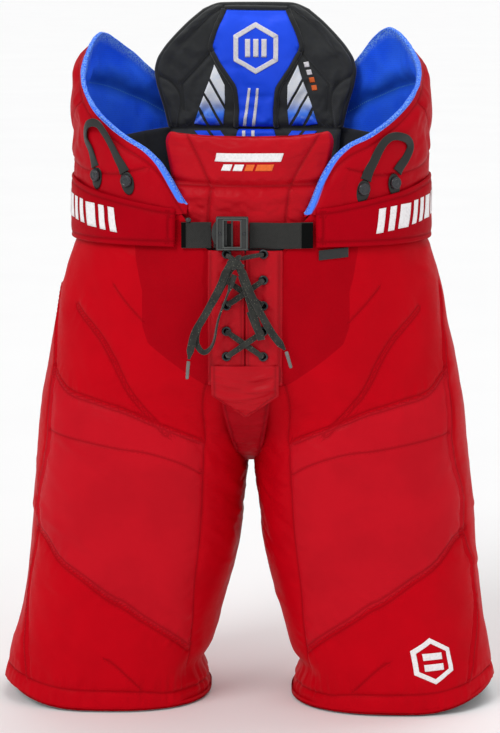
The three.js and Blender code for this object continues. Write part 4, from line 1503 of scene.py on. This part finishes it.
for word, upper in (("upper", 1), ("lower", 3)):
    for layer, (kind, start) in enumerate((("back", -20), ("front", 20))):
        z0, z1 = eyelet_height(upper), eyelet_height(upper + 1)
        y = placket_face((z0 + z1) / 2) - 3.7 - layer * 2.3
        rim = placket_face(z0) - 1.0
        steps = ((start, rim, z0), (start * 0.86, (rim + y) / 2 - 1.4, z0 + (z1 - z0) * 0.07),
                 (start * 0.5, y, z0 + (z1 - z0) * 0.25), (0, y - 0.2, (z0 + z1) / 2),
                 (-start * 0.5, y, z0 + (z1 - z0) * 0.75),
                 (-start * 0.86, (rim + y) / 2 - 1.4, z0 + (z1 - z0) * 0.93), (-start, rim, z1))
        piece = lace(f"cross_{word}_{kind}", steps, 6.6, twist=6 if layer else -6)
        finish_piece(piece, "pelvis", "lace", f"lace_{word}_{kind}")

knot = [
    lace("bar_top", [(20, -148.5, -21), (15, -151.5, -21.4), (6, -154, -22.8), (-4, -156.5, -25)], 5.0),
    lace("bar_low", [(-20, -148.5, -22), (-17, -152, -23), (-12, -156, -26), (-8, -158, -29)], 5.4),
    lace("wrap_front", [(-17, -156.5, -31), (-14, -162.6, -28), (-9, -165.6, -29), (-4, -163.2, -32.5),
                        (-1.5, -157.5, -34)], 7.4, twist=10),
    lace("wrap_over", [(-4, -156, -23.5), (-6.5, -161.8, -23.8), (-10, -164.6, -28.5),
                       (-11.5, -163.4, -33.8), (-11, -158, -36.5)], 6.8, twist=-8),
    lace("lobe_right", [(-9, -162.6, -28.5), (-15, -163.8, -31), (-18.5, -164.6, -36),
                        (-22, -164.4, -43.5)], 7.6, twist=8),
    lace("lobe_left", [(-11, -162.4, -28.5), (-5.5, -164.0, -31), (-3.2, -164.8, -36), (0.5, -164.4, -44)],
         7.6, twist=-8),
    lace("back_right", [(-9, -158.5, -30), (-13, -160.2, -34), (-16.5, -161, -40)], 6.4),
    lace("back_left", [(-9, -158.5, -30), (-5.5, -160.2, -35), (-3, -161, -42)], 7.0),
    closed("core", ring_of((-10.4, -159, -29.8),
                           ((0, 4.6), (3.4, 4.2), (6.4, 2.4), (7.6, 0), (6.4, -2.4), (0, -3.4)), 24,
                           (1, 0.7)),
           plain(6, 24), LOOKS["lace"]),
]
finish_piece(joined("bow_knot", knot), "pelvis", "lace", "lace_knot")

# ---------------------------------------------------------------- waist pad

waist_half = table((-17, 62), (6, 70), (28, 78), (48, 83), (62, 86), (78, 89), (100, 93), (110, 88),
                   sigma=4)
WAIST_SEAMS = [curve([(-68, 109), (-57, 88), (-42, 54)], 8), curve([(77, 109), (62, 84), (46, 54)], 8)]
WAIST_SEAMS += [curve([(-40, 50), (-41, 20), (-40, -17)], 8), curve([(45, 50), (44, 20), (43, -17)], 8)]
WAIST_FOLD = 52  # its height
WAIST_DIP, DIP_FROM, DIP_OVER = 3.6, 70, 40  # the top edge dips in the middle
WAIST_SHIFT = 3.0  # the pad sits a little to the wearer's left


def waist_place(x, z, depth):
    thick = 0.85 + 0.15 * smooth(50, 58, z)
    return np.stack([x + WAIST_SHIFT * smooth(10, 60, z), -138.2 + 26 * (x / 90) ** 2 + depth * thick, z],
                    -1)


def waist_relief(x, z, at):
    height = crowned(at, WAIST_SEAMS, 2.4, 12, 1.3) - 1.4
    fold = z - WAIST_FOLD - 0.0006 * x**2
    height += 2.4 * bump(fold + 11, 7) - 4.2 * bump(fold, 4.2) + 1.0 * bump(fold - 10, 7)
    height += 0.5 * noise(np.stack([x, 0 * x, z], -1), 34, seed=91, octaves=3)
    outside = smooth(40, 52, np.abs(x)) * smooth(56, 30, z)
    height += 1.7 * ripple((np.abs(x) + 0.5 * z) / 16, (z + 0.35 * x) / 8.5, 93) * outside
    height += 0.5 * ripple(x / 10, z / 34, 95) * smooth(16, -6, z)
    return height * smooth(111, 100, z) + 0.2


made = pad("waist_pad", waist_place, waist_half, np.linspace(-17, 109.5, 120), 12.2, waist_relief,
           LOOKS["pad"], front=110, back=30, round_off=6, lines=[*WAIST_SEAMS, level_line(86, WAIST_FOLD)],
           filled=lambda x, z, depth: (depth > 0.5) + smooth(26, 18, z))
for vertex in made.data.vertices:
    share = min(max((vertex.co.z / MM - DIP_FROM) / DIP_OVER, 0), 1)
    vertex.co.z -= (WAIST_DIP - 4 * min(abs(vertex.co.x / MM) / 89, 1) ** 3) * share * MM
finish_piece(made, None, "shell_red", "waist_pad_lower", "waist_pad_flap",
             blend=("pelvis", "waist_flap", (0, -0.13, 0.047), (0, -0.13, 0.061)), fill=0.6)


def on_waist(x, z, out):
    at = np.stack([x, z], -1)
    point = waist_place(x, z, 0)
    point[..., 1] -= waist_relief(x, z, at) + out
    point[..., 2] -= WAIST_DIP * np.clip((z - DIP_FROM) / DIP_OVER, 0, 1)
    return point + carried("waist_pad", x, z)


bars = [decal("bar_wide", [(-37, 80), (35, 80), (38, 90), (-34, 90)], on_waist, LOOKS["white"], 30, 6)]
for i, (start, wide, tone) in enumerate(((-29, 10, "white"), (-16.5, 10, "white"), (-4, 9, "orange"),
                                         (7.5, 18, "orange"))):
    bars.append(decal(f"bar_{i}", [(start, 69.5), (start + wide, 69.5), (start + wide + 2.5, 77),
                                   (start + 2.5, 77)], on_waist,
                      LOOKS[tone], 10, 5))
finish_piece(joined("waist_bars", bars), "waist_flap", "shell_red")

# ---------------------------------------------------------------- spine pad

spine_half = table((60, 97), (99, 100), (125, 106), (150, 113.5), (167, 116.5), (181, 113), (195, 103.5),
                   (208, 92), (222, 78), (236, 61), (244, 47), sigma=3)
SPINE_SEAMS = []
for s in (-1, 1):
    SPINE_SEAMS += [np.array([(s * 50.0, 190.0), (s * 86.0, 150.0), (s * 84.0, 120.0)]),
                    curve([(s * 117.0, 163.0), (s * 98.0, 152.0), (s * 88.0, 134.0), (s * 92.0, 100.0)],
                          16),
                    np.array([(s * 56.0, 122.0), (s * 78.0, 102.0)])]
SPINE_FOLD = 99  # its height


def spine_lean(x):
    return 24 * (x / 117) ** 2


def spine_place(x, z, depth):
    return np.stack([x, 112.4 - spine_lean(x) + depth - 1.8 * smooth(SPINE_FOLD, 70, z), z], -1)


def spine_relief(x, z, at):
    height = crowned(at, SPINE_SEAMS, 3.0, 11, 1.5, 2.4) - 1.2
    height += 1.8 * bump(spine_half(z) - np.abs(x) - 8, 5) - 1.0 * bump(spine_half(z) - np.abs(x) - 17, 4)
    height -= 4.2 * bump(z - SPINE_FOLD, 4) - 1.2 * bump(z - 110, 7)
    height += 0.6 * noise(np.stack([x, 0 * x, z], -1), 38, seed=101, octaves=3)
    return height


made = pad("spine_pad_cloth", spine_place, spine_half, np.linspace(-19, 243.6, 190), 8.0, spine_relief,
           LOOKS["knit"], front=130, back=30, round_off=5,
           lines=[*SPINE_SEAMS, level_line(100, SPINE_FOLD)], filled=lambda x, z,
           depth: (depth > 0.5) + smooth(78, 60, z))
BACK_BEND = ("pelvis", "spine_pad", (0, 0.1, 0.088), (0, 0.1, 0.110))
finish_piece(made, None, "pad_black", "spine_pad_front", "lower_back_pad", blend=BACK_BEND, fill=0.6)

made = pad("spine_pad_cover", lambda x, z, depth: np.stack([x, 122.9 - spine_lean(x) + depth, z], -1),
           lambda z: spine_half(z) - 1, np.linspace(100, 243, 110), 4.0, lambda x, z, at: 0 * x,
           LOOKS["knit"], front=80, back=60, round_off=3, back_relief=lambda x, z,
           at: 1.4 * (1 - np.exp(-(spine_half(z) - np.abs(x)) / 12)) -
           1.2 * bump(spine_half(z) - np.abs(x) - 14, 2.4) + 0.5 * noise(np.stack([x, z], -1), 30, seed=3))
finish_piece(made, "spine_pad", "pad_black", "spine_pad_back", fill=0.5)


def on_spine(x, z, out):
    at = np.stack([x, z], -1)
    point = spine_place(x, z, 0)
    point[..., 1] -= spine_relief(x, z, at) + out
    return point + carried("spine_pad_cloth", x, z)


def piping(name, outline, place, radius, material, count, out=0.6):
    """A thin cord sewn round an edge."""
    chart = curve(outline, count)
    path = place(chart[:, 0], chart[:, 1], out)
    return sweep(name, path, *facing(path), radius, radius, material, ring=10, square=1)


# the rounded, corded rim
rim = [(spine_half(z) - 1.2, z) for z in np.linspace(101, 236, 60)]
rim = [(-x, z) for x, z in rim] + [(-45, 241.8), (-30, 242.8), (0, 243.0), (30, 242.8),
                                   (45, 241.8)] + rim[::-1]


made = piping("spine_pad_rim", rim, lambda x, z, out: spine_place(x, z, 3.6), 3.0, LOOKS["knit"], 300)
finish_piece(made, "spine_pad", "pad_black")

panel_half = table((88, 24), (101, 21), (120, 20), (146, 23), (170, 39), (193, 52), (212, 45), (236, 34),
                   sigma=3)


def panel_place(x, z, depth):
    point = on_spine(x, z, 1.9)
    point[..., 1] += depth
    return point


def panel_relief(x, z, at):
    edge = panel_half(z) - np.abs(x)
    return 1.0 * (1 - np.exp(-edge / 5)) + 0.25 * noise(np.stack([x, z], -1), 26, seed=7)


LOOKS["panel"] = fabric("blue_panel", "0F52FF", weave=1.5, rough=0.6, sheen=0.08, depth=0.6, crumple=0.12,
                        mottle=0.05, stitched=False)
made = pad("blue_panel", panel_place, panel_half, np.linspace(100.5, 236, 110), 2.2, panel_relief,
           LOOKS["panel"], front=60, back=12, round_off=2.0)
finish_piece(made, "spine_pad", "lining_blue", "spine_pad_panel")
low_panel = pad("blue_panel_low", panel_place, lambda z: 21 + 0.25 * (98 - z),
                np.linspace(40, 97.5, 40), 2.2, lambda x, z, at: 0.6 + 0 * x, LOOKS["panel"], front=40,
                back=10, round_off=2)
finish_piece(low_panel, "pelvis", "lining_blue")


def on_panel(x, z, out):
    point = on_spine(x, z, 1.9)
    point[..., 1] -= panel_relief(x, z, None) + out
    return point


pipes = []
for s in (-1, 1):
    edge = [(s * (panel_half(z) + 2.4), z) for z in np.linspace(101, 237, 40)]
    pipes.append(piping(f"pipe_{s}", edge, on_spine, 3.1, LOOKS["knit"], 120, out=0.2))
pipes.append(piping("pipe_top", [(-36, 238.6), (0, 239.2), (36, 238.6)], on_spine, 2.4, LOOKS["knit"], 40,
                    out=0.2))
finish_piece(joined("panel_piping", pipes), "spine_pad", "pad_black")


g = Graph("slat_print")
height = g.attribute("weft")
tone = g.mix(g.band(height, 100, 122), hexed("0C3CF0"), hexed("3F8DFF"))
tone = g.mix(g.band(height, 114, 136), tone, hexed("FAFEFF"))
tone = g.mix(g.times(g.band(g.noise(9, 3), 0.45, 0.65), 0.2), tone, hexed("BFDFFF"))
g.set(Base_Color=tone, Roughness=0.55, Normal=g.relief(0.3, g.times(g.noise(1.4, 2), 0.12)))
LOOKS["slat"] = g.set(Specular_IOR_Level=0.3)

prints = []
SLATS = [[(53.6, 157), (36.6, 126), (37, 149), (48.8, 173)],
         [(60, 140.5), (38.5, 102), (36.6, 120), (54.8, 153.5)],
         [(66.2, 124.5), (54.6, 102), (42, 102), (61, 137)],
         [(72.6, 104), (58, 101.8), (65.6, 115.5), (67.3, 120)]]
for s in (-1, 1):
    for i, corners in enumerate(SLATS):
        prints.append(decal(f"slat_{s}_{i}", [(s * x, z) for x, z in corners], on_spine, LOOKS["slat"], 12,
                            12))
low_prints = []
for s in (-1, 1):
    for x0, x1, x2, x3 in ((72, 58, 50, 64), (54, 42, 34, 46)):
        low_prints.append(decal("low_slat",
                                [(s * x3, 86.5), (s * x2, 86.5), (s * x1, 96.0), (s * x0, 96.0)], on_spine,
                                LOOKS["panel"], 8, 6))
for x in (-14.4, -3.6):
    low_prints.append(decal("low_stripe", [(x - 1.6, 70), (x + 2.2, 70), (x + 1.9, 96), (x - 1.9, 96)],
                            lambda x, z, out: on_spine(x, z, out + 2.6), LOOKS["white"], 4, 10))
finish_piece(joined("low_spine_prints", low_prints), "pelvis", "lining_blue")
for x0, x1 in ((-7.7, -13.6), (1.8, -3.0)):
    prints.append(decal("stripe", [(x1 - 1.9, 101), (x1 + 1.9, 101), (x0 + 1.5, 145), (x0 - 1.5, 145)],
                        on_panel, LOOKS["white"], 4, 24))
# a plain hexagonal emblem with three bars
prints += hexagon(0, 192, 30, 23.5, on_panel, 12)
for k in (-1, 0, 1):
    prints.append(decal("tick", upright(k * 9.5 - 3, k * 9.5 + 3, 181.5, 202.5), on_panel, LOOKS["white"],
                        4, 10))
for i, (z, tone) in enumerate(((170, "white"), (161, "white"), (152, "orange"), (143, "orange"))):
    prints.append(decal(f"side_bar_{i}",
                        [(57 + i * 3.0, z), (63 + i * 3.0, z + 1.0), (61.5 + i * 3.0, z + 7),
                         (55.5 + i * 3.0, z + 6)], on_spine, LOOKS[tone], 5, 5))
finish_piece(joined("spine_prints", prints), "spine_pad", "lining_blue")

# ---------------------------------------------------------------- crotch gusset

GUSSET = [(-144.6, -150), (-144.4, -168), (-127, -203), (-94, -240), (-52, -266), (0, -276), (52, -266),
          (92, -240), (122, -205), (142, -150)]


def gusset(name, path, half, sink, crown, material, pleats=1.5):
    """A strip of cloth along the path under the crotch, with creases across it."""
    heading = tangents(path)
    facing = np.stack([heading[:, 1], -heading[:, 0]], -1)
    across = np.linspace(-1, 1, 40)[None]
    x = half[:, None] * across
    run = run_along(path)[:, None]
    pleat = pleats * ripple((run + 0.006 * x**2) / 8.5, x / 44, 111)
    pleat = pleat * smooth(1.0, 0.8, np.abs(across)) + crown * (1 - np.abs(across) ** 3) - sink
    outside, inside = (np.stack([x, path[:, :1] + facing[:, :1] * out, path[:, 1:] + facing[:, 1:] * out],
                                -1)
                       for out in (pleat, pleat - 2.0))
    grid = np.concatenate([outside, inside[:, ::-1]], axis=1)
    flat = run + 0 * grid[..., 0]
    return closed(name, grid, {"warp": grid[..., 0], "weft": flat,
                               "seam": np.abs(grid[..., 0]) - half[:, None] + 3.5, "along": flat}, material)


path = curve(GUSSET, 150)
run = np.linspace(0, 1, 150)
made = gusset("gusset_cloth", path,
              np.interp(run, (0, 0.12, 0.3, 0.5, 0.7, 0.86, 1), (30, 26, 16, 11, 15, 24, 30)), 4.5, 1.4,
              LOOKS["gusset"])
finish_piece(made, "pelvis", "panel_dark_red", "crotch_gusset")
patch = curve([(-150.6, -143.5), (-150.4, -158), (-146.8, -174), (-138, -189), (-126.4, -203.5)], 110)
half = np.interp(-patch[:, 1], (140, 178, 201, 204), (37.2, 36.8, 6, 3))
made = gusset("gusset_patch", patch, half, 0.4, 1.5, LOOKS["placket"], pleats=2.3)
finish_piece(made, "pelvis", "panel_dark_red")

# ---------------------------------------------------------------- print on the left leg


def on_left_leg(x, z, out):
    psi, face = SHELL_FACE[1]
    row = np.interp(x / CHART, psi, np.arange(len(psi)))
    column = (SHELL_TOP - z) / (SHELL_TOP - SHELL_LOW) * (SHELL_ROWS - 1)
    point, ahead, above = (lookup(face, row + r, column + c) for r, c in ((0, 0), (1, 0), (0, -2)))
    return point + unit(np.cross(ahead - point, above - point)) * np.asarray(out + 0 * x)[..., None]


marks = hexagon(46, -486, 28, 21.5, on_left_leg, 14)
for low in (-497, -484):
    marks.append(decal("dash", upright(34, 58, low, low + 8), on_left_leg, LOOKS["white"], 12, 6))
finish_piece(joined("leg_mark", marks), "left_leg", "shell_red")

# ---------------------------------------------------------------- label tab

tab = decal("label_tab_cloth", [(80, -28.3), (112, -25.3), (112, -14.9), (80, -17.9)],
            lambda x, z, out: np.stack([x, trunk_front(x, z) - 0.8 - out - 0.25 * np.sin(x / 5), z], -1),
            LOOKS["knit"], 24, 8, 0.6, 1.1)
finish_piece(tab, "pelvis", "strap_black", "label_tab")

# ---------------------------------------------------------------- inside pads


def quilt(name, place, across, up, material, cell=(34, 34)):
    """A quilted liner pad: crowned cells parted by sewn channels."""
    u, v = np.linspace(0, 1, across)[:, None], np.linspace(0, 1, up)[None, :]
    edge = np.minimum(np.minimum(u, 1 - u) * across, np.minimum(v, 1 - v) * up) / 3
    soft = rounding(edge, 0.02)
    face = place(u + 0 * v, v + 0 * u, 0.0)
    rear = place(u + 0 * v, v + 0 * u, 1.0)
    run_u = np.linalg.norm(face[-1, up // 2] - face[0, up // 2])
    run_v = np.linalg.norm(face[across // 2, -1] - face[across // 2, 0])
    a = np.abs(np.sin(np.pi * u * round(run_u / cell[0])))
    b = np.abs(np.sin(np.pi * v * round(run_v / cell[1])))
    crown = (soft * (0.62 + 0.38 * np.minimum(a, b) ** 0.5))[..., None]
    middle = (face + rear) / 2
    front, back = middle + (face - middle) * crown, middle + (rear - middle) * crown
    return two_faced(name, front, back, np.stack([(u + 0 * v) * run_u, (v + 0 * u) * run_v], -1), material)


for word, side in SIDES:
    foam = quilt(f"thigh_liner_{word}", lambda u, v,
                 k: leg(side, 1 + 138 * u, -503 + 238 * v, 7.2 + 8.6 * k), 90, 70, LOOKS["foam"])
    finish_piece(foam, f"{word}_leg", "pad_foam", f"thigh_foam_{word}", fill=0.7)
    side_liner = quilt(f"side_liner_{word}",
                       lambda u, v, k: trunk(side, 84 + 81 * u, -16 + (78 + 27 * u + 16) * v, 14.5 + 7 * k),
                       70, 60, LOOKS["foam"], cell=(30, 38))
    finish_piece(side_liner, "pelvis", "pad_black", fill=0.6)
tail = quilt("tailbone_liner", lambda u, v, k: trunk(1, 168.5 + 23 * u, -139 + 114 * v, 5.2 + 11 * k), 40,
             40, LOOKS["foam"], cell=(40, 38))
finish_piece(tail, "pelvis", "pad_foam", "tailbone_pad", fill=0.7)
for node in ("thigh_guard_left", "thigh_guard_right", "hip_cap_left", "hip_cap_right", "spine_pad_plate"):
    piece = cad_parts[node]
    piece.data.materials.clear()
    piece.data.materials.append(LOOKS["plate"])

# ---------------------------------------------------------------- floor and light

FLOOR_HALF, FLOOR_LEVEL = 60000, -549.5
corners = ((-1, -1), (1, -1), (1, 1), (-1, 1))
floor = build("floor", [(x * FLOOR_HALF, y * FLOOR_HALF, FLOOR_LEVEL) for x, y in corners], [[0, 1, 2, 3]])
g = Graph("pale_floor")
g.set(Base_Color=g.mix(g.noise(400, 2), (0.90, 0.90, 0.905, 1), (0.94, 0.94, 0.94, 1)), Roughness=0.7)
floor.data.materials.append(g.material)
floor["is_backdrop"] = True
world = bpy.data.worlds.new("studio")
bpy.context.scene.world = world
world.use_nodes = True
world.node_tree.nodes["Background"].inputs[0].default_value = (1.0, 1.0, 1.0, 1)
world.node_tree.nodes["Background"].inputs[1].default_value = 0.56


def far_light(name, azimuth, elevation, strength, softness):
    """A distant soft light: it falls alike on the object and on the whole floor."""
    data = bpy.data.lights.new(name, "SUN")
    data.energy = strength
    data.angle = math.radians(softness)
    lamp = bpy.data.objects.new(name, data)
    a, e = math.radians(azimuth), math.radians(elevation)
    way = Vector((math.sin(a) * math.cos(e), -math.cos(a) * math.cos(e), math.sin(e)))
    lamp.rotation_euler = (-way).to_track_quat("-Z", "Y").to_euler()
    bpy.context.scene.collection.objects.link(lamp)


far_light("key", -38, 42, 1.15, 28)
far_light("fill", 55, 30, 0.35, 50)
far_light("top", 150, 66, 0.8, 40)

low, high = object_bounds()
